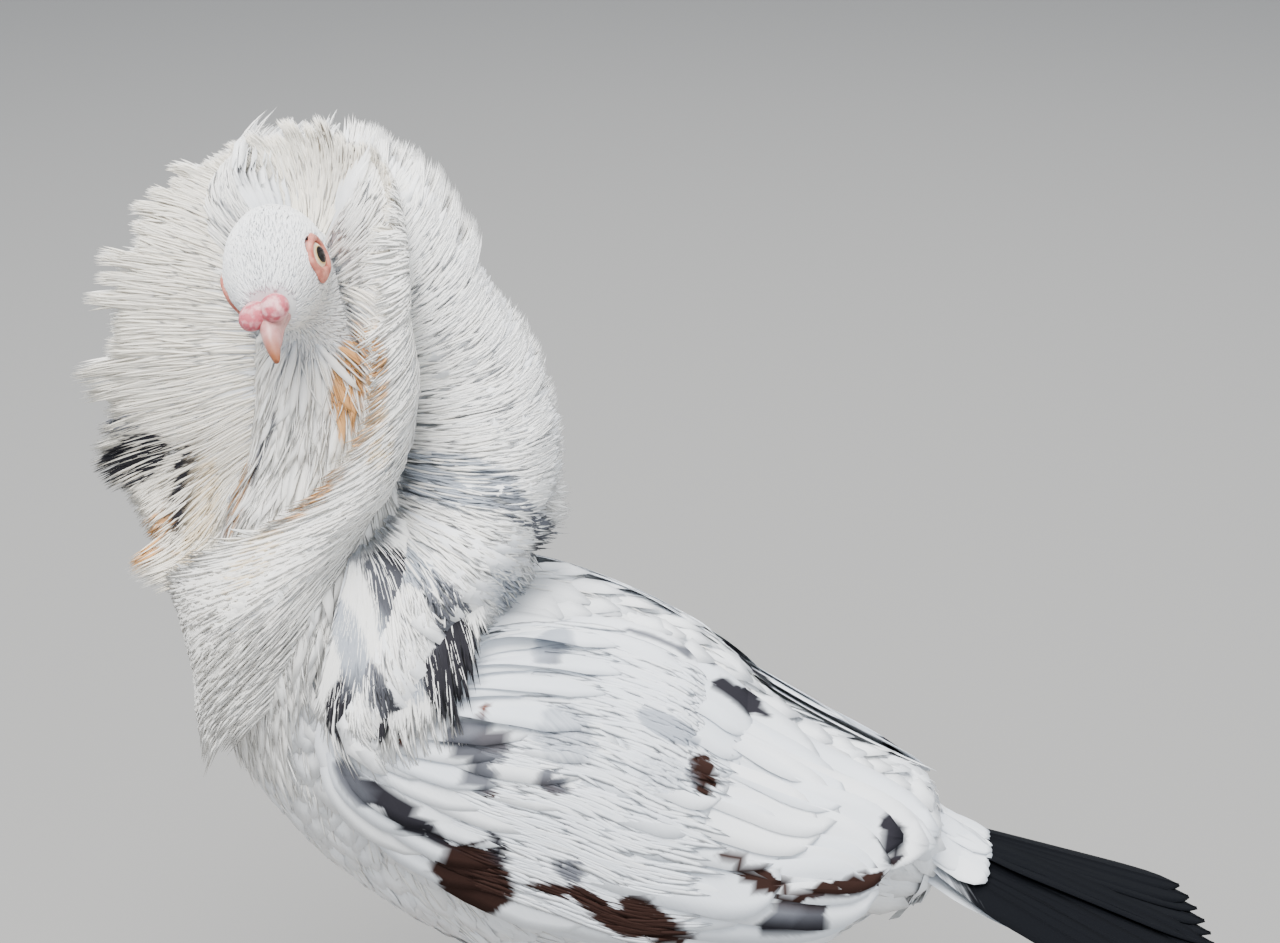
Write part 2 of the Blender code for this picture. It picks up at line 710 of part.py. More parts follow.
def mane_sheet(column, hand):
    """One sheet of the mane: u is the height of its roots, v runs from the neck beside the chain to the fringe."""
    root_angle, tip_angle, bulge, back_share = column[:4]
    root_angle, tip_angle = math.radians(root_angle), math.radians(tip_angle)

    def point(u, v):
        tip_height = read_linear(MANE_FAN, u)[0]
        back, side = mane_reach(tip_height)
        tip = Vector((-RUFF_AXIS_BACK - math.cos(tip_angle) * back, math.sin(tip_angle) * side, tip_height))
        radius = neck_radius(u) - 3
        root = Vector((-RUFF_AXIS_BACK - math.cos(root_angle) * radius, math.sin(root_angle) * radius, u))
        middle = Vector((-RUFF_AXIS_BACK + 8 * bulge - back_share * back, bulge * side, lerp(u, tip_height, 0.5) + 3))
        p = root * (1 - v) ** 2 + middle * 2 * v * (1 - v) + tip * v * v
        return ruff_place(p.x, p.y * hand, p.z)

    return point


def mane_locks(rng):
    pieces = []
    for column in MANE_COLUMNS:
        count = column[4]
        low, high = MANE_FAN[0][0], MANE_FAN[-1][0]
        step = (high - low) / count
        for i in range(count):
            for hand in (1, -1):
                start, drift, short = low + (i + 0.5) * step, rng.uniform(-1.5, 1.5), rng.uniform(0, 0.06)
                middle = lambda t, start=start, drift=drift: start + drift * t
                spots = (*MANE_PLACES[:-1], MANE_PLACES[-1] - short)
                width = lock_width(LOCK_HALF * step)
                sheet = mane_sheet(column, hand)
                pieces.append(sheet_vane("lock", sheet, -hand, middle, width, spots, lambda t: 0, MANE_LEAN, LOCK_THICK))
    return pieces


def front_locks(u_range, rng):
    """Locks of the hood or of a chain: two layers that fan out to the rim, each lock leaning over the next."""
    pieces = []
    limits = (u_range[0] + FRONT_EDGE, u_range[1] - FRONT_EDGE)
    for height, spacing, places in FRONT_LAYERS:
        count = round((u_range[1] - u_range[0]) / spacing)
        step = (u_range[1] - u_range[0]) / count
        for i in range(count):
            start, drift, short = u_range[0] + (i + 0.5) * step, rng.uniform(-0.006, 0.006), rng.uniform(0, 0.05)
            spots = (*places[:-1], places[-1] - short)
            middle = lambda t, start=start, drift=drift: start + drift * t
            width = lock_width(LOCK_HALF * step)
            lift = lambda t, height=height: height
            pieces.append(sheet_vane("lock", front_point, 1, middle, width, spots, lift, FRONT_LEAN, LOCK_THICK, limits))
    return pieces


def flesh_cutters():
    grow = GAP + 0.2
    return [neck_solid("neck_cutter", grow), head_shape("head_cutter", grow), torso_solid("torso_cutter", grow)]


def make_ruff():
    rng = random.Random(SEED)
    mat = white_plumage()

    def core(u, v):
        return lerp(5.4, 4.4, min(1, max(v, 0) / FRONT_CORE_SHARE))

    def region(u, v):
        return 2 * REGION_HALF

    parts = {}
    for name, u_range in (
        ("hood", (-HOOD_SHARE, HOOD_SHARE)),
        ("chain_left", (HOOD_SHARE, 1.0)),
        ("chain_right", (-1.0, -HOOD_SHARE)),
    ):
        inner = (u_range[0] + FRONT_EDGE, u_range[1] - FRONT_EDGE)
        node = front_shell(name, inner, (0, FRONT_CORE_SHARE), core, mat, (20, 4.8))
        fuse(node, front_locks(u_range, rng), "MANIFOLD")
        cut(node, flesh_cutters(), "MANIFOLD")
        parts[name] = node
    mane = mane_core("mane", mat)
    fuse(mane, mane_locks(rng), "MANIFOLD")
    for side in (1, -1):
        for node in (mane, parts["chain_left"], parts["chain_right"]):
            boolean(node, wing_shell("wing_cutter", side, 3.0, -WING_DEPTH - 1.5, 5, 0.06), "DIFFERENCE", "MANIFOLD")
    # The cutter's rows fall on those of the cores, so that its flat faces clear theirs.
    reach = (-0.5 * FRONT_CORE_SHARE, 3.5 * FRONT_CORE_SHARE)
    cut(mane, [front_shell("front_cutter", (-1.1, 1.1), reach, region, density=(20, 2 / FRONT_CORE_SHARE))], "MANIFOLD")
    cut(mane, flesh_cutters(), "MANIFOLD")
    for node in parts.values():
        keep_largest(node)


def wing_point(a, share, side, off=0.0):
    """A point by the wing's outer face: share runs from its upper edge (0) to its lower edge (1)."""
    y, z, up, out, high, low = spline(WING, a)
    ahead, behind = spline(WING, a + 0.3), spline(WING, a - 0.3)
    along = Vector((0, ahead[0] - behind[0], ahead[1] - behind[1])).normalized()
    phi = math.radians(lerp(high, low, share))
    upward = Vector((0, -along.z, along.y))
    return Vector((0, y, z)) + upward * (math.cos(phi) * (up + off)) + Vector((side, 0, 0)) * (math.sin(phi) * (out + off))


def wing_shell(name, side, top, bottom, end, wider=0.0, mat=None):
    """The folded wing as one smooth pad between two heights of its outer face, thin at its edges."""
    rings = []
    steps, across = (12, 8) if wider else (8, 6)
    for i in range(steps + 1):
        a = lerp(-2 * wider, end, i / steps)
        front = min(1.0, (i + 0.8) / 3)
        if not wider:
            top = read_linear(WING_PAD, a)[0]
        outer, inner = [], []
        for k in range(across + 1):
            share = k / across
            edge = min(1.0, 4 * share * (1 - share) + 0.3) * front
            place = lerp(-wider, 1 + wider, share)
            middle, half = (top + bottom) / 2, (top - bottom) / 2
            outer.append(wing_point(a, place, side, middle + half * edge))
            inner.append(wing_point(a, place, side, middle - half * edge))
        rings.append(outer + inner[::-1])
    return loft(name, rings, mat)


def wing_feathers(side, rng):
    pieces = []
    for name, (start, end), roots, tips, count, height, sink, width in WING_TIERS:
        for i in range(count):
            share = i / (count - 1)
            length = rng.uniform(0.95, 1.0)
            if name == "primaries":
                length = lerp(1.0, 0.88, share)
            if name == "secondaries":
                length = lerp(1.0, 0.72, share * share)
            if name == "lesser coverts":
                length *= lerp(1.0, 0.8, abs(share - 0.5) * 2)

            reach = start + (end - start) * length
            middle = lambda t, share=share: lerp(lerp(*roots, share), lerp(*tips, share), t)
            lift = lambda t, reach=reach: height - sink * (end - lerp(start, reach, t))
            places = [lerp(start, reach, t) for t in WING_PLACES]
            half = feather_width(width / (count - 1) * (roots[1] - roots[0]))
            flat = lambda u, v: wing_point(v, u, side)
            pieces.append(sheet_vane("feather", flat, side, middle, half, places, lift, -WING_LEAN, FEATHER_THICK))
    return pieces


def make_wings():
    rng = random.Random(SEED + 1)
    for name, side in (("wing_left", 1), ("wing_right", -1)):
        wing = wing_shell(name, side, 0, -WING_DEPTH, WING_PAD_END, mat=white_plumage())
        fuse(wing, wing_feathers(side, rng), "MANIFOLD")
        cut(wing, [torso_solid("torso_cutter", GAP + 0.1), tail_envelope("tail_cutter", 1.9)], "MANIFOLD")


def tail_place(along, across, up):
    centre = body_frame(len(BODY) - 1)[0]
    back = Vector((0, math.cos(TAIL_DROP), -math.sin(TAIL_DROP)))
    high = Vector((0, math.sin(TAIL_DROP), math.cos(TAIL_DROP)))
    return centre + back * along + Vector((1, 0, 0)) * across + high * up


def tail_core(name, grow=0.0, reach=0.4, mat=None):
    """The fleshy root of the tail, face to face with the body's end."""
    centre, along, upward, up, down, side = body_frame(len(BODY) - 1)
    rings = []
    steps = 4
    for i in range(steps + 1):
        t = i / steps
        ring = []
        for k in range(16):
            phi = 2 * math.pi * k / 16
            c, s = math.cos(phi), math.sin(phi)
            if i == 0:
                ring.append(centre + along * (GAP - grow) + upward * (c * (up + grow)) + Vector((s * (side + grow), 0, 0)))
            else:
                wide, thick = lerp(side, 18, t) + grow, lerp(up, 1.6, t**0.8) + grow
                ring.append(tail_place(TAIL_LENGTH * reach * t, s * wide, c * thick))
        rings.append(ring)
    return loft(name, rings, mat)


def tail_envelope(name, grow):
    """A smooth cutter round the whole tail."""
    rings = []
    for i in range(8):
        t = i / 7
        ring = []
        for k in range(16):
            phi = 2 * math.pi * k / 16
            wide = lerp(14, TAIL_HALF_WIDTH + TAIL_BASE + TAIL_LENGTH * math.sin(TAIL_SPREAD) + 3, t) + grow
            thick = lerp(9.5, 3.6, min(1, t * 1.6)) + grow
            along = lerp(-1, TAIL_LENGTH + 2, t)
            ring.append(tail_place(along, math.sin(phi) * wide, math.cos(phi) * thick))
        rings.append(ring)
    return loft(name, rings)


def make_tail():
    rng = random.Random(SEED + 2)
    tail = tail_core("tail", mat=white_plumage())
    pieces = []
    for i in range(TAIL_FEATHERS):
        place = (i + 0.5) / TAIL_FEATHERS * 2 - 1
        turn = TAIL_SPREAD * place
        length = TAIL_LENGTH * (1 - 0.05 * place * place) * rng.uniform(0.985, 1.0)

        def path(t, place=place, turn=turn, length=length):
            along = lerp(6, length, t)
            across = TAIL_BASE * place + along * math.sin(turn)
            up = Vector((0, math.sin(TAIL_DROP), math.cos(TAIL_DROP)))
            return tail_place(along * math.cos(turn), across, -2.2 * abs(place) - 1.0 * t), up

        tilt = math.radians(9) * (-1 if place > 0 else 1)
        pieces.append(vane("feather", path, feather_width(TAIL_HALF_WIDTH), tilt, (0, 0.5, 0.93, 1)))
    for reach, count, height, width in TAIL_COVERTS:
        for i in range(count):
            place = (i + 0.5) / count * 2 - 1
            length = reach * rng.uniform(0.9, 1.0)

            def path(t, place=place, length=length, height=height):
                along = lerp(2, length, t)
                drop = lerp(1.0, 0.45, t)
                across = (7 + 0.2 * along) * place * 1.5
                lift = (height - abs(place) * math.copysign(1.5, height)) * drop
                return tail_place(along, across, lift), Vector((0, 0.3, 1))

            pieces.append(vane("covert", path, feather_width(width), 0.0, (0, 0.5, 0.88, 1)))
    fuse(tail, pieces)
    cut(tail, [torso_solid("torso_cutter", GAP + 0.1)])


def tube(name, rows, sides=10, mat=None):
    """A closed limb through rows of x, y, z and radius."""
    rings = []
    for i, row in enumerate(rows):
        a, b = Vector(rows[max(i - 1, 0)][:3]), Vector(rows[min(i + 1, len(rows) - 1)][:3])
        axis = (b - a).normalized()
        side = axis.cross(Vector((0, 1, 0.3))).normalized()
        up = side.cross(axis)
        ring = []
        for k in range(sides):
            phi = 2 * math.pi * k / sides
            ring.append(Vector(row[:3]) + (side * math.cos(phi) + up * math.sin(phi)) * row[3])
        rings.append(ring)
    return loft(name, rings, mat)


def flat_foot(obj):
    """Trims a mesh to the floor, which leaves small flats under the toes."""
    bm = bmesh.new()
    bm.from_mesh(obj.data)
    geom = bm.verts[:] + bm.edges[:] + bm.faces[:]
    cutting = bmesh.ops.bisect_plane(bm, geom=geom, plane_co=(0, 0, 0), plane_no=(0, 0, -1), clear_outer=True)
    edges = [e for e in cutting["geom_cut"] if isinstance(e, bmesh.types.BMEdge)]
    bmesh.ops.contextual_create(bm, geom=edges)
    bm.to_mesh(obj.data)
    bm.free()


def toe_rows(side, angle, length):
    """A toe that leaves the foot, arches a little and comes down on its pads."""
    turn = math.radians(angle) * side
    ahead = Vector((math.sin(turn), -math.cos(turn), 0))
    foot = Vector((LEG[-1][0] * side, LEG[-1][1], 0))
    rows = []
    for t, z, r in TOE:
        p = foot + ahead * (length * t)
        rows.append((p.x, p.y, z, r))
    return rows, ahead


def make_legs():
    for name, side in (("left", 1), ("right", -1)):
        rows = [spline(LEG, (len(LEG) - 1) * i / LEG_RINGS) for i in range(LEG_RINGS + 1)]
        leg = tube("leg_" + name, [(x * side, y, z, r) for x, y, z, r in rows], LEG_SIDES, bare_skin())
        toes = []
        for number, (angle, length) in enumerate(TOES):
            rows, ahead = toe_rows(side, angle, length)
            toes.append(tube("toe", rows, TOE_SIDES))
            tip = Vector(rows[-1][:3]) + ahead * GAP
            claw = []
            for t, drop, r in CLAW:
                p = tip + ahead * (CLAW_LENGTH * t)
                claw.append((p.x, p.y, tip.z - drop, r))
            tube(f"claw_{name}_{number + 1}", claw, CLAW_SIDES, claw_horn())
        fuse(leg, toes)
        flat_foot(leg)
        cut(leg, [torso_solid("torso_cutter", GAP + 0.1)])


def place_on_origin():
    for obj in collection.objects:
        obj.data.transform(Matrix.Translation(Vector((-CENTRE[0], -CENTRE[1], 0)) * MM))


def main():
    global collection
    for obj in list(bpy.data.objects):
        bpy.data.objects.remove(obj)
    collection = bpy.data.collections.new(COLLECTION_NAME)
    bpy.context.scene.collection.children.link(collection)

    torso_solid("torso", mat=white_plumage())
    neck = neck_solid("neck", mat=white_plumage())
    make_head()
    cut(neck, [head_shape("head_cutter", GAP)])
    make_eyes()
    make_bill()
    make_ruff()
    make_wings()
    make_tail()
    make_legs()
    place_on_origin()


main()
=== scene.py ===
import math

import bmesh
import bpy
import numpy as np
from mathutils import Matrix, Vector
from mathutils.bvhtree import BVHTree


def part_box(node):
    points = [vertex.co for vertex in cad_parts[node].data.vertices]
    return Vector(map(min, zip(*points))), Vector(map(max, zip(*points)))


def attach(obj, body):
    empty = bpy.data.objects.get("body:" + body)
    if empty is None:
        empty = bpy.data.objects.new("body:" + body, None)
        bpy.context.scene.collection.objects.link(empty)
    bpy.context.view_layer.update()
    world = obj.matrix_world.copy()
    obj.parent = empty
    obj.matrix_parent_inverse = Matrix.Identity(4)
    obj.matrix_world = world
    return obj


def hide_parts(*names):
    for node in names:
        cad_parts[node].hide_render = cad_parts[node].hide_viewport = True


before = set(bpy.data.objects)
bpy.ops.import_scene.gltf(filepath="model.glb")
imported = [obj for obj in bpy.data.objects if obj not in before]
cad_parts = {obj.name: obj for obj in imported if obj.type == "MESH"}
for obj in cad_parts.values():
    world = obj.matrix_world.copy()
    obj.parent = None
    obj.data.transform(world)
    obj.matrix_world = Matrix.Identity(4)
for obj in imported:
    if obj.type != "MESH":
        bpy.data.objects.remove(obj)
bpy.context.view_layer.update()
mm = 0.001


def unit(v):
    return v / np.maximum(np.linalg.norm(v, axis=-1, keepdims=True), 1e-9)


def smoothStep(low, high, value):
    t = np.clip((np.asarray(value, float) - low) / (high - low), 0, 1)
    return t * t * (3 - 2 * t)


def curveThrough(rows, t):
    # a smooth curve through rows of numbers, one row to each unit of t, and straight on past its ends
    rows = np.asarray(rows, float)
    t = np.asarray(t, float)
    last = len(rows) - 1
    inside = np.clip(t, 0, last)
    i = np.minimum(inside.astype(int), last - 1)
    f = (inside - i)[..., None]
    a, b = rows[np.maximum(i - 1, 0)], rows[i]
    c, d = rows[i + 1], rows[np.minimum(i + 2, last)]
    first, second, third = c - a, 2 * a - 5 * b + 4 * c - d, 3 * b - a - 3 * c + d
    place = 0.5 * (2 * b + first * f + second * f**2 + third * f**3)
    slope = 0.5 * (first + 2 * second * f + 3 * third * f**2)
    return place + slope * (t - inside)[..., None]


def readTable(rows, key):
    # straight lines between rows of (key, value, ...)
    rows = np.asarray(sorted(rows), float)
    columns = [np.interp(key, rows[:, 0], rows[:, k]) for k in range(1, rows.shape[1])]
    return columns[0] if len(columns) == 1 else columns


# The bird is drawn in millimetres with its front along -Y and its left along +X.
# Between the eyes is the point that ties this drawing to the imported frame.
head = {
    "eyesMiddle": np.array((8.0, -57.6, 246.0)),
    "forward": unit(np.array((0.976, 0.008, -0.213))),
    "leftHint": np.array((0.0854, 0.900, 0.4277)),
    "eyeOut": 8.2,
    "eyeRadius": 4.8,
}
headUp = unit(np.cross(head["forward"], head["leftHint"]))
headLeft = np.cross(headUp, head["forward"])


def boxMiddle(node):
    low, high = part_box(node)
    return (np.array(low) + np.array(high)) / 2


shift = (boxMiddle("eye_left") + boxMiddle("eye_right")) / 2 - head["eyesMiddle"] * mm


def toFrame(points):
    return np.asarray(points) * mm + shift


def toDrawing(points):
    return (np.asarray(points) - shift) / mm


def headPlace(local):
    # forward, left and up from between the eyes
    local = np.asarray(local, float)
    steps = local[..., 0:1] * head["forward"] + local[..., 1:2] * headLeft + local[..., 2:3] * headUp
    return head["eyesMiddle"] + steps


def headLocal(points):
    away = points - head["eyesMiddle"]
    return np.stack([away @ head["forward"], away @ headLeft, away @ headUp], axis=-1)


view = {
    "target": np.array((0.0, 26.0, 197.0)),
    "azimuth": 95.0,
    "elevation": 20.0,
    "distance": 824.0,
    "focal": 3500.0,  # in pixels of the photograph
    "width": 1280,
    "height": 943,
    "sensor": 36.0,
}
turned, raised = math.radians(view["azimuth"]), math.radians(view["elevation"])
viewBack = np.array(
    (math.cos(raised) * math.sin(turned), -math.cos(raised) * math.cos(turned), math.sin(raised))
)
viewRight = np.array((math.cos(turned), math.sin(turned), 0.0))
viewUp = np.cross(viewBack, viewRight)


def photoPixel(points):
    # where a point of the drawing falls in the photograph
    away = points - view["target"]
    scale = view["focal"] / (view["distance"] - away @ viewBack)
    return view["width"] / 2 + (away @ viewRight) * scale, view["height"] / 2 - (away @ viewUp) * scale


def makeCamera():
    data = bpy.data.cameras.new("camera")
    data.sensor_width = view["sensor"]
    data.lens = view["focal"] * view["sensor"] / view["width"]
    camera = newObject("camera", data)
    place = toFrame(view["target"] + viewBack * view["distance"])
    turn = Matrix([list(row) for row in np.stack([viewRight, viewUp, viewBack], axis=1)]).to_4x4()
    camera.matrix_world = Matrix.Translation(place) @ turn
    bpy.context.scene.camera = camera


studio = {
    "floorSize": 4.0,
    "floorColour": (0.25, 0.245, 0.235, 1),
    "floorRoughness": 0.85,
    "sky": (0.80, 0.88, 1.0, 1),
    "skyStrength": 0.8,
    # azimuth, elevation, distance, size, watts, colour
    "lights": [
        ("key", 62, 64, 1.3, 1.0, 46, (1.0, 0.985, 0.96)),
        ("fill", 120, 25, 1.6, 1.3, 13, (0.93, 0.97, 1.0)),
        ("rim", 265, 50, 1.4, 0.8, 20, (1.0, 1.0, 1.0)),
    ],
}


def makeStudio():
    bm = bmesh.new()
    bmesh.ops.create_grid(bm, x_segments=1, y_segments=1, size=studio["floorSize"])
    floor = newPiece("floor", bm)
    paper = {"Base Color": studio["floorColour"], "Roughness": studio["floorRoughness"]}
    floor.data.materials.append(newMaterial("floorPaper", paper)[0])
    middle = toFrame(np.array((0.0, 0.0, 150.0)))
    for name, azimuth, elevation, distance, size, watts, colour in studio["lights"]:
        light = bpy.data.lights.new(name, "AREA")
        light.shape = "DISK"
        light.size = size
        light.energy = watts
        light.color = colour
        lamp = newObject(name, light)
        turn, tilt = math.radians(azimuth), math.radians(elevation)
        away = Vector((math.cos(tilt) * math.sin(turn), -math.cos(tilt) * math.cos(turn), math.sin(tilt)))
        lamp.location = Vector(middle) + away * distance
        lamp.rotation_euler = away.to_track_quat("Z", "Y").to_euler()
    world = bpy.data.worlds.new("softRoom")
    world.use_nodes = True
    backdrop = world.node_tree.nodes["Background"]
    backdrop.inputs["Color"].default_value = studio["sky"]
    backdrop.inputs["Strength"].default_value = studio["skyStrength"]
    bpy.context.scene.world = world


def newObject(name, data):
    made = bpy.data.objects.new(name, data)
    bpy.context.scene.collection.objects.link(made)
    return made


def newPiece(name, bm):
    mesh = bpy.data.meshes.new(name)
    bm.to_mesh(mesh)
    bm.free()
    return newObject(name, mesh)


def newMaterial(name, fixed):
    # the material, a function that adds a node and one that feeds its shader
    material = bpy.data.materials.new(name)
    material.use_nodes = True
    tree = material.node_tree

    def feed(inputs, node=tree.nodes["Principled BSDF"]):
        for socket, value in inputs.items():
            if isinstance(value, bpy.types.NodeSocket):
                tree.links.new(value, node.inputs[socket])
            else:
                node.inputs[socket].default_value = value

    def add(kind, inputs=None, **settings):
        node = tree.nodes.new("ShaderNode" + kind)
        for key, value in settings.items():
            setattr(node, key, value)
        feed(inputs or {}, node)
        return node.outputs

    feed(fixed)
    return material, add, feed


# the forms that the plumage follows
body = {
    # y, z, height above, below and half width along the body
    "rows": [
        (-45, 152, 30, 37, 33),
        (-32, 138, 36, 43, 37),
        (-12, 127, 42, 48, 39),
        (8, 117, 44, 48, 39.5),
        (28, 108, 43, 45, 38),
        (48, 104, 35, 38, 32),
        (66, 104, 25, 28, 25),
        (82, 106, 16, 18, 18),
        (94, 108, 9.5, 10, 13),
    ],
    # x, y, z and radius up the neck
    "neck": [
        (0, -45, 152, 33),
        (0, -47, 175, 27),
        (-4, -46, 200, 19.5),
        (-5.5, -50, 224, 15.5),
        (-4, -53, 240, 12.5),
        (-2, -56, 247, 10),
    ],
}
ruff = {
    "eyeLevel": 246.0,
    "axisBack": 15.0,
    # height over the eyes, turn round the neck
    "turn": [(-100, 12), (-84, 24), (-66, 42), (-46, 57), (-24, 65), (40, 65)],
    # forward, left and height of each feather's root, middle and tip, from the right chain's foot
    # over the top of the hood to the left chain's foot
    "front": [
        ((-8, -18, -76), (2, -28, -82), (23, -25, -80)),
        ((-9, -18, -56), (-2, -36, -58), (15, -48, -62)),
        ((-11, -15, -33), (-5, -34, -34), (13, -49, -35)),
        ((-13, -14, -8), (-10, -32, -4), (8, -41, 1)),
        ((-17, -9, 2), (-22, -22, 16), (-9, -29, 22)),
        ((-20, 0, 2), (-28, 0, 17), (-21, 0, 30)),
        ((-17, 9, 2), (-22, 24, 15), (-11, 27, 25)),
        ((-13, 14, -9), (-6, 47, -6), (14, 33, 0)),
        ((-10, 16, -36), (0, 46, -38), (23, 23, -36)),
        ((-8, 20, -62), (24, 36, -72), (25, -12, -74)),
        ((-8, 24, -84), (28, 28, -98), (19, 2, -103)),
    ],
    # height over the eyes, reach backwards and to the side
    "mane": [
        (28, -32, 18),
        (20, -41, 31),
        (4, -52, 40),
        (-10, -61, 46),
        (-24, -67, 51),
        (-37, -70, 54),
        (-51, -69, 54),
        (-66, -66, 52),
        (-80, -60, 46),
        (-92, -55, 48),
        (-102, -50, 46),
    ],
    # root height, tip height
    "fan": [(-84, -99), (-70, -80), (-55, -56), (-40, -32), (-25, -8), (-10, 14), (2, 27)],
    # column, root angle, tip angle, bulge, back share
    "columns": [
        (-0.2, 98, 72, 1.2, -0.1),
        (0, 88, 60, 1.16, 0.0),
        (0.5, 58, 34, 0.86, 0.45),
        (1, 22, 10, 0.34, 0.7),
        (1.2, 8, 2, 0.2, 0.8),
    ],
}


def neckAxis(height):
    rows = [(z - ruff["eyeLevel"], x, y) for x, y, z, _ in body["neck"][:5]]
    x, y = readTable(rows, height)
    return x, y


def neckRadius(height):
    return readTable([(z - ruff["eyeLevel"], r) for _, _, z, r in body["neck"]], height)


def ruffPlace(local):
    # turns the ruff's own forward, left and height, which twist round the neck, into the bird's frame
    forward, left, height = local[..., 0], local[..., 1], local[..., 2]
    turn = np.radians(readTable(ruff["turn"], height))
    x, y = neckAxis(height)
    ahead = forward + ruff["axisBack"]
    return np.stack(
        [
            x + np.sin(turn) * ahead + np.cos(turn) * left,
            y - np.cos(turn) * ahead + np.sin(turn) * left,
            ruff["eyeLevel"] + height,
        ],
        axis=-1,
    )


def ruffLocal(points):
    height = points[..., 2] - ruff["eyeLevel"]
    turn = np.radians(readTable(ruff["turn"], height))
    x, y = neckAxis(height)
    dx, dy = points[..., 0] - x, points[..., 1] - y
    forward = np.sin(turn) * dx - np.cos(turn) * dy - ruff["axisBack"]
    left = np.cos(turn) * dx + np.sin(turn) * dy
    return np.stack([forward, left, height], axis=-1)


def bezier(root, middle, tip, v):
    return root * (1 - v) ** 2 + middle * 2 * v * (1 - v) + tip * v * v


def curvedSheet(rows, at, v, hand=1):
    # a sheet through rows of root, middle and tip in the ruff's own terms
    n = curveThrough([root + middle + tip for root, middle, tip in rows], at)
    p = bezier(n[..., 0:3], n[..., 3:6], n[..., 6:9], v[..., None])
    p[..., 1] *= hand
    return ruffPlace(p)


def frontSheet(u, v):
    # hood and chains: u is 0 at the top of the hood and -1 or 1 at the foot of a chain, v runs out
    return curvedSheet(ruff["front"], (u + 1) / 2 * (len(ruff["front"]) - 1), v)


def maneSheet(column, hand):
    # one sheet of the mane: u is the height of the roots, v runs from the neck to the fringe
    def place(u, v):
        rootAngle, tipAngle, bulge, backShare = readTable(ruff["columns"], column)
        rootAngle, tipAngle = np.radians(rootAngle), np.radians(tipAngle)
        tipHeight = readTable(ruff["fan"], u) + (u - np.clip(u, -84, 2)) * 0.9
        back, side = readTable(ruff["mane"], tipHeight)
        back = -ruff["axisBack"] - back
        axis = -ruff["axisBack"]
        radius = neckRadius(u) - 3
        tip = np.stack([axis - np.cos(tipAngle) * back, np.sin(tipAngle) * side, tipHeight], axis=-1)
        root = np.stack([axis - np.cos(rootAngle) * radius, np.sin(rootAngle) * radius, u], axis=-1)
        middleHeight = (u + tipHeight) / 2 + 3
        middle = np.stack([axis + 8 * bulge - backShare * back, bulge * side, middleHeight], axis=-1)
        p = bezier(root, middle, tip, v[..., None])
        p[..., 1] *= hand
        return ruffPlace(p)

    return place


wing = {
    # y, z, height above, reach outwards, angles of the upper and lower edge
    "rows": [
        (-39, 146, 33, 36, 62, 92),
        (-32, 138, 41, 42, 38, 108),
        (-12, 127, 47, 46, 20, 112),
        (8, 117, 48.5, 47.5, 13, 108),
        (28, 108, 47, 47.5, 12, 106),
        (48, 104, 40, 46, 14, 102),
        (66, 103, 31, 43, 18, 98),
        (82, 101, 25, 37, 24, 93),
        (95, 97, 21, 31, 30, 88),
        (108, 92, 18, 25, 34, 84),
        (126, 85, 16, 19, 38, 80),
    ],
    # how far inside its upper, lower, front and rear edge no body feather is needed
    "inside": (16, 14, -24, 84),
}


def wingSheet(side):
    # u runs back along the wing, v from its upper edge (0) to its lower edge (1)
    def place(u, v):
        row = curveThrough(wing["rows"], u)
        ahead, behind = curveThrough(wing["rows"], u + 0.3), curveThrough(wing["rows"], u - 0.3)
        run = unit(ahead[..., 0:2] - behind[..., 0:2])
        phi = np.radians(row[..., 4] + (row[..., 5] - row[..., 4]) * v)
        high, out = np.cos(phi) * row[..., 2], np.sin(phi) * row[..., 3]
        return np.stack(
            [side * out, row[..., 0] - run[..., 1] * high, row[..., 1] + run[..., 0] * high], axis=-1
        )

    return place


tail = {"length": 79.0, "drop": math.radians(22), "feathers": 12, "spread": math.radians(20.5), "base": 9.5}


def tailPlace(along, across, up):
    # distances back along the tail from the body's end, to the left and upwards
    y, z = body["rows"][-1][:2]
    c, s = math.cos(tail["drop"]), math.sin(tail["drop"])
    return np.stack([across, y + c * along + s * up, z - s * along + c * up], axis=-1)


def tailSheet(u, v):
    # u runs across the fan from -1 to 1, v back along it
    turn = tail["spread"] * u
    along = 6 + (tail["length"] - 6) * v
    return tailPlace(along * np.cos(turn), tail["base"] * u + along * np.sin(turn), -2.2 * np.abs(u) - v)


def sheetNormal(sheet, u, v, facing, stepU=0.02, stepV=0.02):
    # facing is 1 or -1, whichever makes the normal point to the sheet's outer side
    du = sheet(u + stepU, v) - sheet(u - stepU, v)
    dv = sheet(u, v + stepV) - sheet(u, v - stepV)
    return unit(np.cross(du, dv)) * facing


shapes = {
    "plume": {
        "across": 1,
        "along": 5,
        "outline": [(0, 0.3), (0.15, 0.62), (0.45, 1.0), (0.75, 0.85), (0.92, 0.4), (1, 0.06)],
    },
    "covert": {
        "across": 6,
        "along": 12,
        "outline": [(0, 0.3), (0.15, 0.72), (0.45, 1.0), (0.75, 0.98), (0.9, 0.72), (0.97, 0.42), (1, 0.15)],
        "ridge": 0.6,
    },
    "contour": {
        "across": 2,
        "along": 4,
        "outline": [(0, 0.3), (0.2, 0.75), (0.55, 1.0), (0.82, 0.85), (0.95, 0.45), (1, 0.12)],
        "ridge": 0.8,
    },
    "flight": {
        "across": 8,
        "along": 22,
        "outline": [(0, 0.25), (0.08, 0.6), (0.3, 1.0), (0.8, 1.0), (0.9, 0.86), (0.97, 0.5), (1, 0.12)],
        "shaft": 0.05,
        "ridge": 1.6,
    },
}
strandOutline = [(0, 0.0), (0.25, 0.9), (0.5, 1.0), (0.75, 0.7), (1, 0.0)]


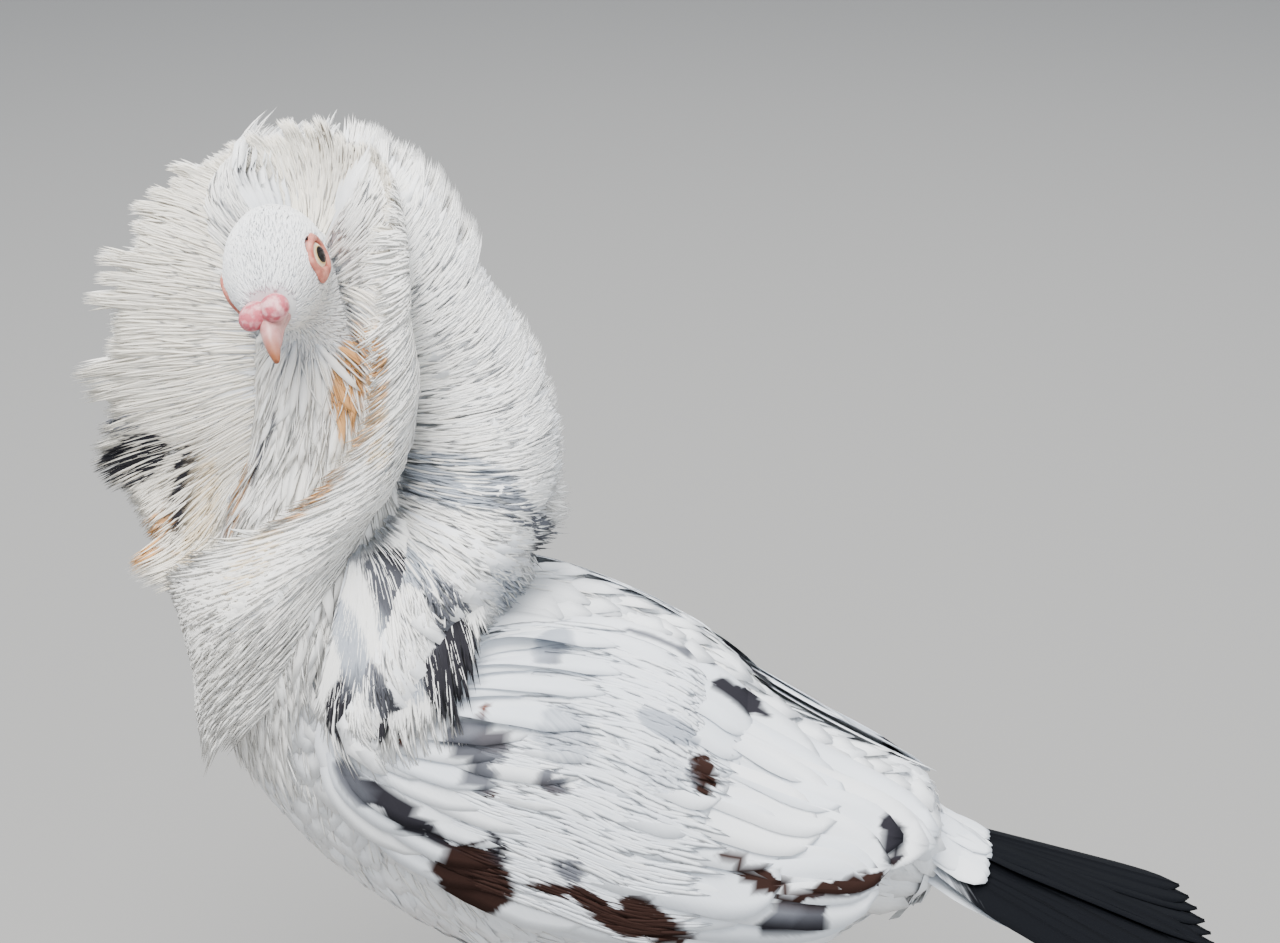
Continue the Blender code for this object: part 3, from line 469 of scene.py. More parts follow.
def template(bm, shapePoints):
    # a shape's points are x across in half widths, t along in lengths and the level through it
    bmesh.ops.triangulate(bm, faces=bm.faces[:])
    bm.verts.index_update()
    points, edge = shapePoints(np.array([v.co for v in bm.verts]))
    faces = np.array([[v.index for v in f.verts] for f in bm.faces])
    rim = np.array([abs(f.normal.z) < 0.5 for f in bm.faces])
    bm.free()
    return {"points": points, "edge": edge, "faces": faces, "rim": rim}


def vaneShape(spec):
    def shapePoints(vane):
        x, t, levels = vane[:, 0], (vane[:, 1] + 1) / 2, vane[:, 2]
        level = (levels - (levels.min() + levels.max()) / 2) / (levels.max() - levels.min())
        width = np.interp(t, *np.array(spec["outline"]).T)
        if "shaft" in spec:
            x = np.sign(x) * np.interp(np.abs(x), [0, 0.34, 0.67, 1], [0, spec["shaft"], 0.5, 1])
        ridge = np.where(np.abs(x) < 0.01, spec.get("ridge", 0.0), 0.0) * (1 - 0.6 * t)
        thin = np.clip(1.25 - np.abs(x), 0.25, 1)
        return np.stack([x * width, t, level * thin + ridge], axis=1), x

    bm = bmesh.new()
    bmesh.ops.create_grid(bm, x_segments=spec["across"], y_segments=spec["along"], size=1)
    bmesh.ops.solidify(bm, geom=bm.faces[:], thickness=0.5)
    return template(bm, shapePoints)


def strandShape():
    # a single fine lock: three sides, pointed at both ends
    bm = bmesh.new()
    bmesh.ops.create_grid(bm, x_segments=3, y_segments=4, size=0.5)
    for vert in bm.verts:
        around, t = 2 * math.pi * (vert.co.x + 0.5), vert.co.y + 0.5
        width = float(np.interp(t, *np.array(strandOutline).T))
        vert.co = (math.sin(around) * width, t, math.cos(around) * width * 0.5)
    bmesh.ops.remove_doubles(bm, verts=bm.verts[:], dist=1e-5)
    bmesh.ops.triangulate(bm, faces=bm.faces[:])
    bmesh.ops.recalc_face_normals(bm, faces=bm.faces[:])
    made = template(bm, lambda points: (points, points[:, 0] * 0))
    made["rim"][:] = False
    return made


templates = {kind: vaneShape(spec) for kind, spec in shapes.items()}
templates["strand"] = strandShape()


def layFeathers(kind, root, over, tip, rootNormal, tipNormal, half, spec, rng):
    # one copy of the shape on each curve from root over a middle point to tip, in millimetres
    n = len(root)
    camber = spec["camber"] * rng.uniform(0.7, 1.3, n)[:, None]
    twist = np.radians(rng.normal(spec.get("lean", 0), spec["twist"], n))[:, None]
    sway = rng.normal(0, spec["sway"], n)[:, None]
    x, t, level = templates[kind]["points"].T
    t1 = t[None, :, None]
    middle = (2 * over - (root + tip) / 2)[:, None]
    root, tip = root[:, None], tip[:, None]
    centre = bezier(root, middle, tip, t1)
    run = unit(2 * (1 - t1) * (middle - root) + 2 * t1 * (tip - middle))
    up = rootNormal[:, None] * (1 - t1) + tipNormal[:, None] * t1
    up = unit(up - run * np.sum(up * run, axis=-1, keepdims=True))
    side = np.cross(run, up)
    turn = (twist * np.clip(t, 0, 1))[..., None]
    up, side = up * np.cos(turn) + side * np.sin(turn), side * np.cos(turn) - up * np.sin(turn)
    wide = half[:, None] * x
    drop = camber * half[:, None] * (x * x)
    across, above = wide + sway * (t * t), level * spec["thick"] - drop
    return centre + side * across[..., None] + up * above[..., None]


def joinFeathers(name, batches):
    # one mesh from many laid feathers, with its colours and its two UV maps
    parts = []
    count = 0
    for batch in batches:
        shape, placed = templates[batch["kind"]], batch["points"]
        n, m = placed.shape[:2]
        x, t, _ = shape["points"].T
        vane = np.stack([batch["half"][:, None] * x, batch["length"][:, None] * t], axis=-1) * mm
        patch = np.stack([np.clip(x, -1, 1) * 0.0015, np.clip(t - 0.5, -0.5, 0.5) * 0.003], axis=-1)
        faces = shape["faces"][None] + (count + np.arange(n)[:, None, None] * m)
        coloured = [batch["shade"], batch["tint"], batch["mark"]]
        bake = batch["bake"][:, None] + patch[None]
        part = [toFrame(placed), faces, np.tile(shape["rim"], n), vane, bake, *coloured]
        parts.append([values.reshape(-1, *values.shape[2:]) for values in part])
        count += n * m
    points, faces, rims, vane, bake, shade, tint, mark = (np.concatenate(part) for part in zip(*parts))
    mesh = bpy.data.meshes.new(name)
    mesh.vertices.add(len(points))
    mesh.vertices.foreach_set("co", points.astype(np.float32).ravel())
    mesh.loops.add(faces.size)
    mesh.loops.foreach_set("vertex_index", faces.astype(np.int32).ravel())
    mesh.polygons.add(len(faces))
    mesh.polygons.foreach_set("loop_start", np.arange(0, faces.size, 3, dtype=np.int32))
    mesh.update(calc_edges=True)
    mesh.attributes.new("sharp_face", "BOOLEAN", "FACE").data.foreach_set("value", rims)
    setMaps(mesh, {"vane": vane[faces.ravel()], "OFBake": bake[faces.ravel()]})
    setColours(mesh, {"shade": shade, "tint": tint}, {"mark": mark})
    mesh.validate()
    print(f"{name}: {len(faces)} triangles")
    return newObject(name, mesh)


def meshPoints(mesh):
    points = np.empty(len(mesh.vertices) * 3)
    mesh.vertices.foreach_get("co", points)
    return toDrawing(points.reshape(-1, 3))


def setMaps(mesh, maps):
    for key, values in maps.items():
        layer = mesh.uv_layers.new(name=key)
        layer.data.foreach_set("uv", values.astype(np.float32).ravel())


def setColours(mesh, colours, numbers):
    for key, values in colours.items():
        layer = mesh.attributes.new(key, "FLOAT_COLOR", "POINT")
        rgba = np.concatenate([values, np.ones((len(values), 1))], axis=1)
        layer.data.foreach_set("color", rgba.astype(np.float32).ravel())
    for key, values in numbers.items():
        layer = mesh.attributes.new(key, "FLOAT", "POINT")
        layer.data.foreach_set("value", values.astype(np.float32))


tints = {
    "black": (0.022, 0.021, 0.026),
    "soot": (0.004, 0.0045, 0.006),
    "slate": (0.13, 0.135, 0.155),
    "ash": (0.36, 0.39, 0.44),
    "rust": (0.12, 0.04, 0.024),
    "umber": (0.030, 0.015, 0.012),
    "orange": (0.66, 0.36, 0.15),
    "cream": (0.82, 0.70, 0.52),
}
# the feathers' whites: high and warm are their own colours, low is painted shade for their roots and sides,
# and the blue-grey one is painted shade for body and wings
whiteAndShade = {
    "high": np.array((0.86, 0.87, 0.88)),
    "low": np.array((0.70, 0.73, 0.78)),
    "warm": np.array((0.88, 0.82, 0.70)),
    "blueShade": np.array((0.60, 0.67, 0.76)),
}
# each mark is an ellipse in pixels of the photograph: x, y, long radius, short radius,
# angle from the horizontal, tint and strength.
marks = {
    "chainLeft": [
        (358, 385, 74, 34, 95, "orange", 1.0),
        (305, 495, 60, 22, -38, "orange", 0.55),
        (252, 560, 60, 20, -50, "cream", 0.6),
        (300, 445, 24, 6, -50, "slate", 0.6),
        (372, 250, 90, 22, 85, "cream", 0.5),
        (375, 430, 60, 22, 80, "cream", 0.55),
    ],
    "chainRight": [
        (130, 462, 48, 28, 150, "black", 1.0),
        (182, 490, 56, 14, 100, "black", 0.95),
        (120, 425, 34, 14, 165, "slate", 0.6),
        (146, 545, 40, 18, -70, "orange", 0.75),
        (186, 560, 50, 14, -80, "cream", 0.7),
        (205, 500, 60, 18, -85, "cream", 0.7),
    ],
    "hood": [
        (330, 170, 60, 30, 60, "cream", 0.25),
        (338, 138, 44, 26, 85, "black", 0.9),
        (372, 160, 40, 16, 80, "slate", 0.9),
    ],
    "mane": [
        (450, 480, 90, 34, 10, "ash", 0.75),
        (520, 510, 60, 16, 35, "slate", 0.75),
        (545, 560, 45, 12, 75, "black", 0.7),
        (545, 615, 30, 10, 100, "black", 0.75),
        (515, 600, 50, 26, 60, "ash", 0.5),
        (405, 565, 50, 22, 30, "ash", 0.7),
        (455, 620, 60, 22, 60, "slate", 0.9),
        (482, 665, 60, 26, 75, "black", 0.95),
        (375, 690, 60, 18, 60, "slate", 0.7),
        (392, 712, 34, 16, 60, "black", 0.85),
        (345, 672, 40, 14, 60, "ash", 0.55),
    ],
    "cape": [
        (432, 636, 112, 42, 58, "black", 1.0),
        (458, 692, 46, 34, 70, "black", 1.0),
        (400, 600, 60, 20, 50, "slate", 0.8),
        (358, 715, 44, 36, 80, "black", 1.0),
        (352, 650, 60, 18, 75, "ash", 0.7),
        (400, 660, 60, 14, 65, "ash", 0.6),
        (520, 600, 60, 12, 60, "slate", 0.7),
    ],
    "throat": [
        (228, 420, 60, 6, -75, "slate", 0.9),
        (262, 450, 55, 5, -70, "slate", 0.8),
        (230, 510, 60, 6, -80, "slate", 0.8),
        (205, 480, 60, 7, -85, "ash", 0.8),
        (236, 480, 70, 14, -85, "orange", 0.65),
        (348, 385, 70, 20, 95, "orange", 0.9),
        (205, 450, 90, 22, -85, "cream", 0.8),
        (180, 330, 22, 10, 40, "black", 0.85),
    ],
    "wing": [
        # shoulder
        (400, 812, 62, 13, 36, "black", 0.95),
        (352, 782, 30, 12, 60, "slate", 0.9),
        (402, 739, 13, 9, 85, "rust", 0.9),
        (477, 742, 38, 24, 15, "slate", 0.95),
        (466, 752, 26, 12, 60, "black", 0.85),
        (495, 740, 16, 13, 0, "umber", 0.8),
        (480, 782, 18, 13, 30, "slate", 0.85),
        (489, 794, 10, 4, 0, "umber", 0.9),
        (485, 706, 6, 6, 0, "rust", 0.8),
        # the middle of the wing
        (551, 646, 25, 17, -35, "ash", 0.85),
        (553, 655, 16, 9, -35, "slate", 0.8),
        (565, 735, 40, 34, 30, "ash", 0.5),
        (552, 782, 22, 12, 25, "slate", 0.85),
        (551, 789, 15, 6, 20, "umber", 0.9),
        (668, 727, 38, 13, 27, "ash", 0.85),
        (660, 775, 34, 24, 10, "ash", 0.4),
        (703, 774, 14, 23, -12, "umber", 0.95),
        # painted shadow: the dark gap at the wing's upper edge, and the thin dark line along it
        (740, 697, 36, 12, 32, "black", 0.9),
        (676, 648, 60, 4, 20, "slate", 0.8),
        # its lower edge
        (473, 880, 46, 33, 32, "umber", 1.0),
        (497, 851, 22, 10, 70, "black", 0.95),
        (571, 870, 16, 13, 20, "slate", 0.9),
        (551, 889, 20, 7, 15, "umber", 0.95),
        (602, 912, 44, 11, 38, "umber", 1.0),
        (655, 925, 46, 17, 35, "umber", 1.0),
        (760, 879, 52, 11, 32, "umber", 1.0),
        (845, 886, 56, 11, -14, "umber", 1.0),
        (893, 842, 34, 14, 68, "black", 1.0),
        (795, 913, 42, 6, -5, "slate", 0.9),
        (795, 927, 42, 13, -8, "black", 1.0),
    ],
    # the far wing's own dark edge
    "farWing": [(704, 650, 108, 15, 34.6, "black", 1.0)],
    "tail": [(1170, 860, 260, 200, 0, "soot", 1.0)],
    "cover": [],
    "body": [],
    "head": [],
}
# the share of feathers that take up a mark, where marks break into separate streaks
streaky = {"hood": 0.16, "chainLeft": 0.55, "chainRight": 0.6, "mane": 0.75, "cape": 0.85, "throat": 0.55}
# how quickly a mark fades at its edge, as shares of its radius
markEdge = {"wing": (0.82, 1.08), "cape": (0.7, 1.1)}
plainEdge = (0.5, 1.15)


def paint(points, region, shade):
    # the colour of each mark where these points fall in the photograph, and how strong it is there
    px, py = photoPixel(points)
    tint = shade * 0.9
    strength = np.zeros(points.shape[:-1])
    for x, y, longRadius, shortRadius, angle, name, most in marks[region]:
        c, s = math.cos(math.radians(angle)), math.sin(math.radians(angle))
        dx, dy = px - x, py - y
        along, across = (dx * c + dy * s) / longRadius, (dy * c - dx * s) / shortRadius
        amount = most * (1 - smoothStep(*markEdge.get(region, plainEdge), np.hypot(along, across)))
        mix = (amount / np.maximum(amount + strength, 1e-6))[..., None]
        tint = tint * (1 - mix) + np.array(tints[name]) * mix
        strength = np.maximum(strength, amount)
    return tint, strength


def mirroredLeft(points):
    # the left-hand twin of points on the bird's right side
    twin = points.copy()
    twin[..., 0] = np.abs(twin[..., 0])
    return twin


def mirroredMane(points):
    local = ruffLocal(points)
    local[..., 1] = np.abs(local[..., 1])
    return ruffPlace(local)


def featherMaterial(name, spec):
    # white vanes with fine barb lines, whose marks break up along the barbs
    fixed = {"Roughness": spec["roughness"], "Specular IOR Level": spec["specular"], "Sheen Roughness": 0.5}
    material, add, feed = newMaterial(name, {**fixed, "Sheen Weight": spec["sheen"]})
    shade, tint, mark = (add("Attribute", attribute_name=key) for key in ("shade", "tint", "mark"))
    split = add("SeparateXYZ", {0: add("UVMap", uv_map="vane")["UV"]})

    def calc(kind, a, b=0.5):
        return add("Math", {0: a, 1: b}, operation=kind)[0]

    # barbs leave the shaft at an angle: lines run where this number stays the same
    slope, scale = math.radians(spec["barbAngle"]), spec["barbScale"]
    outward = calc("MULTIPLY", calc("ABSOLUTE", split["X"]), math.cos(slope))
    barb = calc("SUBTRACT", outward, calc("MULTIPLY", split["Y"], math.sin(slope)))
    lines = {"X": calc("MULTIPLY", barb, scale), "Y": calc("MULTIPLY", split["Y"], scale * 0.06)}
    stretched = add("CombineXYZ", lines)[0]
    streak = add("TexNoise", {"Scale": 1.0, "Detail": 3.0, "Vector": stretched})["Fac"]
    place = add("TexCoord")["Object"]
    cloud = add("TexNoise", {"Scale": spec["cloudScale"], "Detail": 3.0, "Vector": place})["Fac"]
    broken = calc("ADD", mark["Fac"], calc("MULTIPLY", calc("SUBTRACT", streak, 0.5), spec["ragged"]))
    span = {"From Min": 0.25, "From Max": 0.62, "Value": broken}
    edge = add("MapRange", span, interpolation_type="SMOOTHSTEP")[0]
    present = calc("MULTIPLY", edge, calc("MINIMUM", calc("MULTIPLY", mark["Fac"], 6.0), 1.0))
    mixed = {"Factor": present, "A": shade["Color"], "B": tint["Color"]}
    colour = add("Mix", mixed, data_type="RGBA")["Result"]
    depth = spec["streakDepth"]
    lightness = calc("ADD", calc("MULTIPLY", streak, depth), 1 - depth * 0.5)
    lightness = calc("MULTIPLY", lightness, calc("ADD", calc("MULTIPLY", cloud, 0.12), 0.94))
    final = add("VectorMath", {0: colour, "Scale": lightness}, operation="SCALE")[0]
    bump = add("Bump", {"Strength": spec["bump"], "Distance": 0.0004, "Height": streak})[0]
    feed({"Base Color": final, "Normal": bump})
    return material


plumage = {
    "soft": {
        "roughness": 0.8, "specular": 0.1, "sheen": 0.06, "barbAngle": 14.0, "barbScale": 1500.0,
        "cloudScale": 60.0, "streakDepth": 0.14, "ragged": 1.1, "bump": 0.3,
    },
    "flight": {
        "roughness": 0.75, "specular": 0.04, "sheen": 0.0, "barbAngle": 38.0, "barbScale": 1300.0,
        "cloudScale": 50.0, "streakDepth": 0.06, "ragged": 0.4, "bump": 0.15,
    },
}


def sheetFeathers(kind, guide, u, startV, endV, spec, rng, drift=0.0):
    # feathers that follow a guide sheet from (u, startV) to (u + drift, endV), at a height over it
    n = len(u)
    sheet, lift = guide["sheet"], spec["lift"]
    points, normals = [], []
    for place, (uu, vv) in enumerate(((u, startV), (u + drift / 2, (startV + endV) / 2), (u + drift, endV))):
        normal = sheetNormal(sheet, uu, vv, guide["facing"], guide["step"])
        points.append(sheet(uu, vv) + normal * (lift[place] if np.ndim(lift) else lift))
        normals.append(normal)
    root, over, tip = points
    length = np.linalg.norm(tip - over, axis=1) + np.linalg.norm(over - root, axis=1)
    half = spec["half"] * rng.uniform(0.85, 1.15, n)
    placed = layFeathers(kind, root, over, tip, normals[0], normals[2], half, spec, rng)
    start, span = guide["box"]
    bake = np.stack([0.02 + 0.96 * (u - start) / span, 0.02 + 0.96 * rng.uniform(0, 1, n)], axis=1)
    return {"kind": kind, "points": placed, "half": half, "length": length, "bake": bake}


def colourBatch(batch, region, mirror, tone, rng):
    # whites darken towards the root and the sides with painted shade, may take a blue-grey painted shade,
    # vary from feather to feather, and take the photograph's marks
    shape = templates[batch["kind"]]
    n = len(batch["points"])
    # painted shade: each feather darkens towards its sides and its root
    within = 1 - tone["edge"] * np.abs(shape["edge"])[None] ** 3
    depth = (smoothStep(0.0, tone["reach"], shape["points"][:, 1])[None, :] * within)[..., None]
    warm = np.clip(tone["warm"] + rng.normal(0, 0.05, (n, 1)), 0, 1)[..., None]
    high = whiteAndShade["high"] * (1 - warm) + whiteAndShade["warm"] * warm
    # painted shade: a random share of blue-grey shade mixed into the whites
    blueShade = np.clip(tone.get("blueShade", 0.0) * rng.uniform(0.3, 1.7, (n, 1, 1)), 0, 1)
    high = high * (1 - blueShade) + whiteAndShade["blueShade"] * blueShade
    shade = whiteAndShade["low"] * (1 - depth) + high * depth
    shade = shade * rng.normal(1.0, tone["vary"], (n, 1, 1)).clip(0.85, 1.1)
    seen = mirror(batch["points"]) if mirror else batch["points"]
    tint, mark = paint(seen, region, shade)
    picked = rng.random((n, 1)) < streaky.get(region, 1.0)
    batch["shade"], batch["tint"], batch["mark"] = shade, tint, mark * np.where(picked, 1.0, 0.15)
    return batch


# reach is how far up each feather its painted root shade runs, edge how much painted shade darkens its sides
tone = {"reach": 0.55, "edge": 0.06, "warm": 0.1, "vary": 0.03}
plumeSpec = {"thick": 0.14, "camber": 0.05, "twist": 2.0}

ruffCoat = {
    # height over the guide sheet, feathers for each unit of u, start and end of the feathers
    "frontLayers": [
        (-1.7, 210, 0.02, 0.93),
        (-0.9, 190, 0.0, 0.96),
        (0.0, 190, 0.0, 0.97),
        (0.9, 190, 0.0, 0.96),
        (1.7, 210, 0.02, 0.93),
    ],
    "frontHalf": 1.9,
    "hoodShare": 0.4,
    "tipLift": 0.3,
    "inWarm": 0.8,
    "outWarm": 0.4,
    # fine strands for each unit of u, and the share of them that make the loose fringe
    "strands": 6500,
    "fringeShare": 0.3,
    "strandHalf": 0.44,
    # where each part's feathers end on the guide sheet, and its loosest tips
    "reach": {"hood": 0.95, "chainLeft": 0.98, "chainRight": 0.99},
    "fringeReach": {"hood": 1.15, "chainLeft": 1.06, "chainRight": 1.19},
    # where the fringe draws back: share, from and to in u, and how gently
    "drawn": [(0.1, 0.4, 0.6, 0.2), (0.09, -0.44, -0.2, 0.2)],
    # how far the strands of the left and right chains slope down them
    "slope": (0.11, 0.07),
    # width of a clump in u, and how far its tips draw together
    "clump": 0.03,
    "gather": 0.85,
}
# the strands' painted root shade runs only a short way up them
strandTone = {"reach": 0.12, "edge": 0.0, "warm": 0.3, "vary": 0.025}


def flattened(lift, v):
    # layers draw together towards the fringe
    return lift * (1 - (1 - ruffCoat["tipLift"]) * smoothStep(0.5, 1.0, v))


def strandLift(height, startV, endV):
    spots = (startV, (startV + endV) / 2, endV)
    return tuple((flattened(height, v))[:, None] for v in spots)


def strandSpec(lift, sway):
    half = ruffCoat["strandHalf"]
    return {"lift": lift, "half": half, "thick": 0.34, "camber": 0.0, "twist": 0.0, "sway": sway}


def drawnBack(u):
    share = np.ones_like(u)
    for most, start, end, soft in ruffCoat["drawn"]:
        share -= most * smoothStep(start - soft, start, u) * smoothStep(end + soft, end, u)
    return share


def wispReach(u, width, low, high, rng):
    # each clump of the fringe reaches its own length
    cells = np.floor(u / width).astype(int)
    reaches = rng.uniform(low, high, cells.max() - cells.min() + 1)
    return reaches[cells - cells.min()] * rng.uniform(0.94, 1.0, len(u))


def converge(u, width, endV, low, high):
    # the tips of a clump draw towards its middle
    centre = (np.floor(u / width) + 0.5) * width
    return (centre - u) * ruffCoat["gather"] * smoothStep(low, high, endV)


def spaced(low, high, n, rng):
    return low + (np.arange(n) + rng.uniform(0.1, 0.9, n)) / n * (high - low)


def frontStrands(guide, low, high, region, rng):
    n = int((high - low) * ruffCoat["strands"])
    u = rng.uniform(low, high, n)
    loose = rng.random(n) < ruffCoat["fringeShare"]
    startV = np.where(loose, rng.uniform(0.45, 0.75, n), rng.uniform(-0.08, 0.62, n))
    endV = startV + rng.uniform(0.3, 0.5, n)
    most, clump = ruffCoat["reach"][region], ruffCoat["clump"]
    wisps = wispReach(u, clump, 0.98 * most, ruffCoat["fringeReach"][region], rng)
    endV = np.where(loose, wisps, np.minimum(endV, most)) * drawnBack(u)
    side = np.where(rng.random(n) < 0.5, -1.0, 1.0)
    near, far = ruffCoat["slope"]
    slope = near * smoothStep(0.15, 0.6, u) * np.where(side < 0, 1.0, 0.6)
    slope = slope - far * smoothStep(0.45, 0.95, -u)
    slope = slope * (endV - startV) / 0.4 * (1 + 1.5 * smoothStep(0.45, 0.1, startV))
    drift = slope + converge(u, clump, endV, 0.8, 1.0) + rng.normal(0, 0.005, n)
    height = side * np.where(loose, rng.uniform(0.4, 2.0, n), rng.uniform(1.6, 2.1, n))
    spec = strandSpec(strandLift(height, startV, endV), 0.5)
    batch = sheetFeathers("strand", guide, u, startV, endV, spec, rng, drift)
    warm = np.where(side > 0, ruffCoat["inWarm"], ruffCoat["outWarm"])[:, None]
    return colourBatch(batch, region, None, {**strandTone, "warm": warm}, rng)


def frontPiece(name, low, high, region, seed):
    rng = np.random.default_rng(seed)
    guide = {"sheet": frontSheet, "facing": 1, "step": 0.02, "box": (low, high - low)}
    batches = []
    for lift, density, start, end in ruffCoat["frontLayers"]:
        n = int((high - low) * density)
        u = spaced(low, high, n, rng)
        spec = {**plumeSpec, "half": ruffCoat["frontHalf"], "sway": 0.8}
        spec["lift"] = (lift, lift, lift * ruffCoat["tipLift"])
        endV = end * rng.uniform(0.95, 1.02, n) * ruffCoat["reach"][region] * drawnBack(u)
        drift = rng.normal(0, 0.006, n)
        batch = sheetFeathers("plume", guide, u, np.full(n, start), endV, spec, rng, drift)
        inside = {**tone, "warm": ruffCoat["inWarm" if lift > 0 else "outWarm"]}
        batches.append(colourBatch(batch, region, None, inside, rng))
    batches.append(frontStrands(guide, low, high, region, rng))
    return joinFeathers(name, batches)


maneCoat = {
    # column, height over the sheet, feathers up the neck, start and end
    "layers": [
        (-0.06, 0.9, 170, 0.0, 0.95),
        (0.02, 0.0, 150, 0.0, 0.96),
        (0.16, 0.0, 120, 0.0, 0.96),
        (0.32, 0.0, 100, 0.0, 0.96),
        (0.48, 0.0, 90, 0.0, 0.96),
        (0.64, 0.0, 90, 0.0, 0.96),
        (0.8, 0.0, 90, 0.0, 0.96),
        (0.94, 0.0, 100, 0.0, 0.96),
        (1.06, 0.0, 120, 0.0, 0.96),
        (1.16, 0.4, 150, 0.0, 0.94),
    ],
    "low": -88.0,
    "high": 5.0,
    "half": 2.1,
    "strands": 5700,
    # share of strands on the side towards the face, of those the loose ones, and their columns
    "faceShare": 0.55,
    "looseShare": 0.3,
    "faceColumn": -0.08,
    "columnSpan": (-0.05, 1.18),
    "clump": 4.8,
    # how far the longest wisps reach, left and right
    "wisps": {1: 1.19, -1: 1.08},
    # how far the lower strands droop from root to tip, in millimetres
    "droop": 22.0,
}


def maneDroop(u, reach, rng):
    return -maneCoat["droop"] * smoothStep(-38, -84, u) * reach * rng.uniform(0.6, 1.2, len(u))


def maneGuide(columns, hand):
    box = (maneCoat["low"], maneCoat["high"] - maneCoat["low"])
    return {"sheet": maneSheet(columns, hand), "facing": -hand, "step": 1.0, "box": box}


def maneStrands(hand, rng):
    n = maneCoat["strands"]
    u = rng.uniform(maneCoat["low"], maneCoat["high"], n)
    onFace = rng.random(n) < maneCoat["faceShare"]
    loose = ~onFace | (rng.random(n) < maneCoat["looseShare"])
    columns = np.where(onFace, maneCoat["faceColumn"], rng.uniform(*maneCoat["columnSpan"], n))
    startV = np.where(loose, rng.uniform(0.55, 0.8, n), rng.uniform(-0.05, 0.7, n))
    wisps = wispReach(u, maneCoat["clump"], 0.94, maneCoat["wisps"][hand], rng)
    endV = np.where(loose, wisps, startV + rng.uniform(0.2, 0.36, n))
    height = np.where(onFace, rng.uniform(1.0, 1.5, n), 0.0)
    drift = maneDroop(u, endV - startV, rng) + rng.normal(0, 0.4, n)
    drift = drift + converge(u, maneCoat["clump"], endV, 0.85, 1.08)
    spec = strandSpec(strandLift(height, startV, endV), 0.6)
    batch = sheetFeathers("strand", maneGuide(columns, hand), u, startV, endV, spec, rng, drift)
    return colourBatch(batch, "mane", mirroredMane, strandTone, rng)


def manePiece(name, hand, seed):
    rng = np.random.default_rng(seed)
    batches = []
    for column, lift, n, start, end in maneCoat["layers"]:
        u = spaced(maneCoat["low"], maneCoat["high"], n, rng)
        columns = column + rng.uniform(-0.04, 0.04, n)
        spec = {**plumeSpec, "lift": lift, "half": maneCoat["half"], "sway": 1.0}
        endV = end * rng.uniform(0.95, 1.02, n)
        drift = maneDroop(u, endV - start, rng) * 0.6 + rng.normal(0, 0.8, n)
        guide = maneGuide(columns, hand)
        batch = sheetFeathers("plume", guide, u, np.full(n, start), endV, spec, rng, drift)
        batches.append(colourBatch(batch, "mane", mirroredMane, tone, rng))
    batches.append(maneStrands(hand, rng))
    return joinFeathers(name, batches)


cape = {
    # long loose plumes that hang from the mane's foot over the shoulder: root, middle and tip of each
    "rows": [
        ((-1, 25, -62), (-2, 38, -82), (-7, 39, -105)),
        ((-3, 25, -60), (-9, 45, -78), (-19, 46, -105)),
        ((-5, 25, -58), (-17, 50, -71), (-33, 49, -99)),
        ((-8, 25, -55), (-26, 52, -63), (-44, 49, -88)),
    ],
    # count, half width, thickness and height over the sheet
    "plume": (110, 1.5, 0.14, 0.0),
    "strand": (1900, 0.44, 0.5, 0.5),
    "clump": 0.16,
}


def capeSheet(hand):
    def place(u, v):
        return curvedSheet(cape["rows"], u, v, hand)

    return place


def capePiece(name, hand, seed):
    rng = np.random.default_rng(seed)
    last = len(cape["rows"]) - 1
    guide = {"sheet": capeSheet(hand), "facing": -hand, "step": 0.1, "box": (0.0, float(last))}
    batches = []
    for kind in ("plume", "strand"):
        fine = kind == "strand"
        n, half, thick, lift = cape[kind]
        u = rng.uniform(-0.1, last + 0.1, n)
        startV = rng.uniform(0.0, 0.72 if fine else 0.12, n)
        endV = startV + rng.uniform(0.28, 0.5, n) if fine else rng.uniform(0.7, 1.02, n)
        endV = np.where(endV > 1.0, rng.uniform(0.8, 1.14, n), endV)
        short = 1 - 0.4 * smoothStep(last - 0.9, last, u) - 0.2 * smoothStep(0.5, -0.1, u)
        startV, endV = startV * short, endV * short
        drift = converge(u, cape["clump"], endV, 0.6, 1.1) + rng.normal(0, 0.02, n)
        spec = {"lift": lift, "half": half, "thick": thick, "camber": 0.05, "twist": 3.0, "sway": 1.0}
        batch = sheetFeathers(kind, guide, u, startV, endV, spec, rng, drift)
        batches.append(colourBatch(batch, "cape", mirroredMane, strandTone if fine else tone, rng))
    return joinFeathers(name, batches)


def dress(piece, material, slot, *nodes):
    piece.data.materials.append(material)
    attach(piece, "root")
    if nodes:
        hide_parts(*nodes)
    return piece


print("camera and studio")
makeCamera()
makeStudio()
softFeather = featherMaterial("softFeather", plumage["soft"])
flightFeather = featherMaterial("flightFeather", plumage["flight"])

print("ruff")
share = ruffCoat["hoodShare"]
for region, low, high, seed, node in (
    ("hood", -share, share, 101, "hood"),
    ("chainLeft", share, 1.0, 102, "chain_left"),
    ("chainRight", -1.0, -share, 103, "chain_right"),
):
    dress(frontPiece(region + "Feathers", low, high, region, seed), softFeather, "ruff_feathers", node)
for word, hand, seed in (("Left", 1, 104), ("Right", -1, 105)):
    dress(manePiece(f"mane{word}Feathers", hand, seed), softFeather, "ruff_feathers", "mane")
for word, hand, seed in (("Left", 1, 106), ("Right", -1, 107)):
    dress(capePiece(f"cape{word}Plumes", hand, seed), softFeather, "ruff_feathers")

skin = {
    "voxel": 0.0016,
    "depth": 1.3,
    "headDepth": 0.5,
    "headRise": (228, 236),
    "thighEnd": 46.0,
    "split": 160,  # height at which the unwrapping changes from body to neck
    "shade": 0.86,
    "smoothing": 3,
    "nodes": ("torso", "neck", "head", "leg_left", "leg_right"),
}


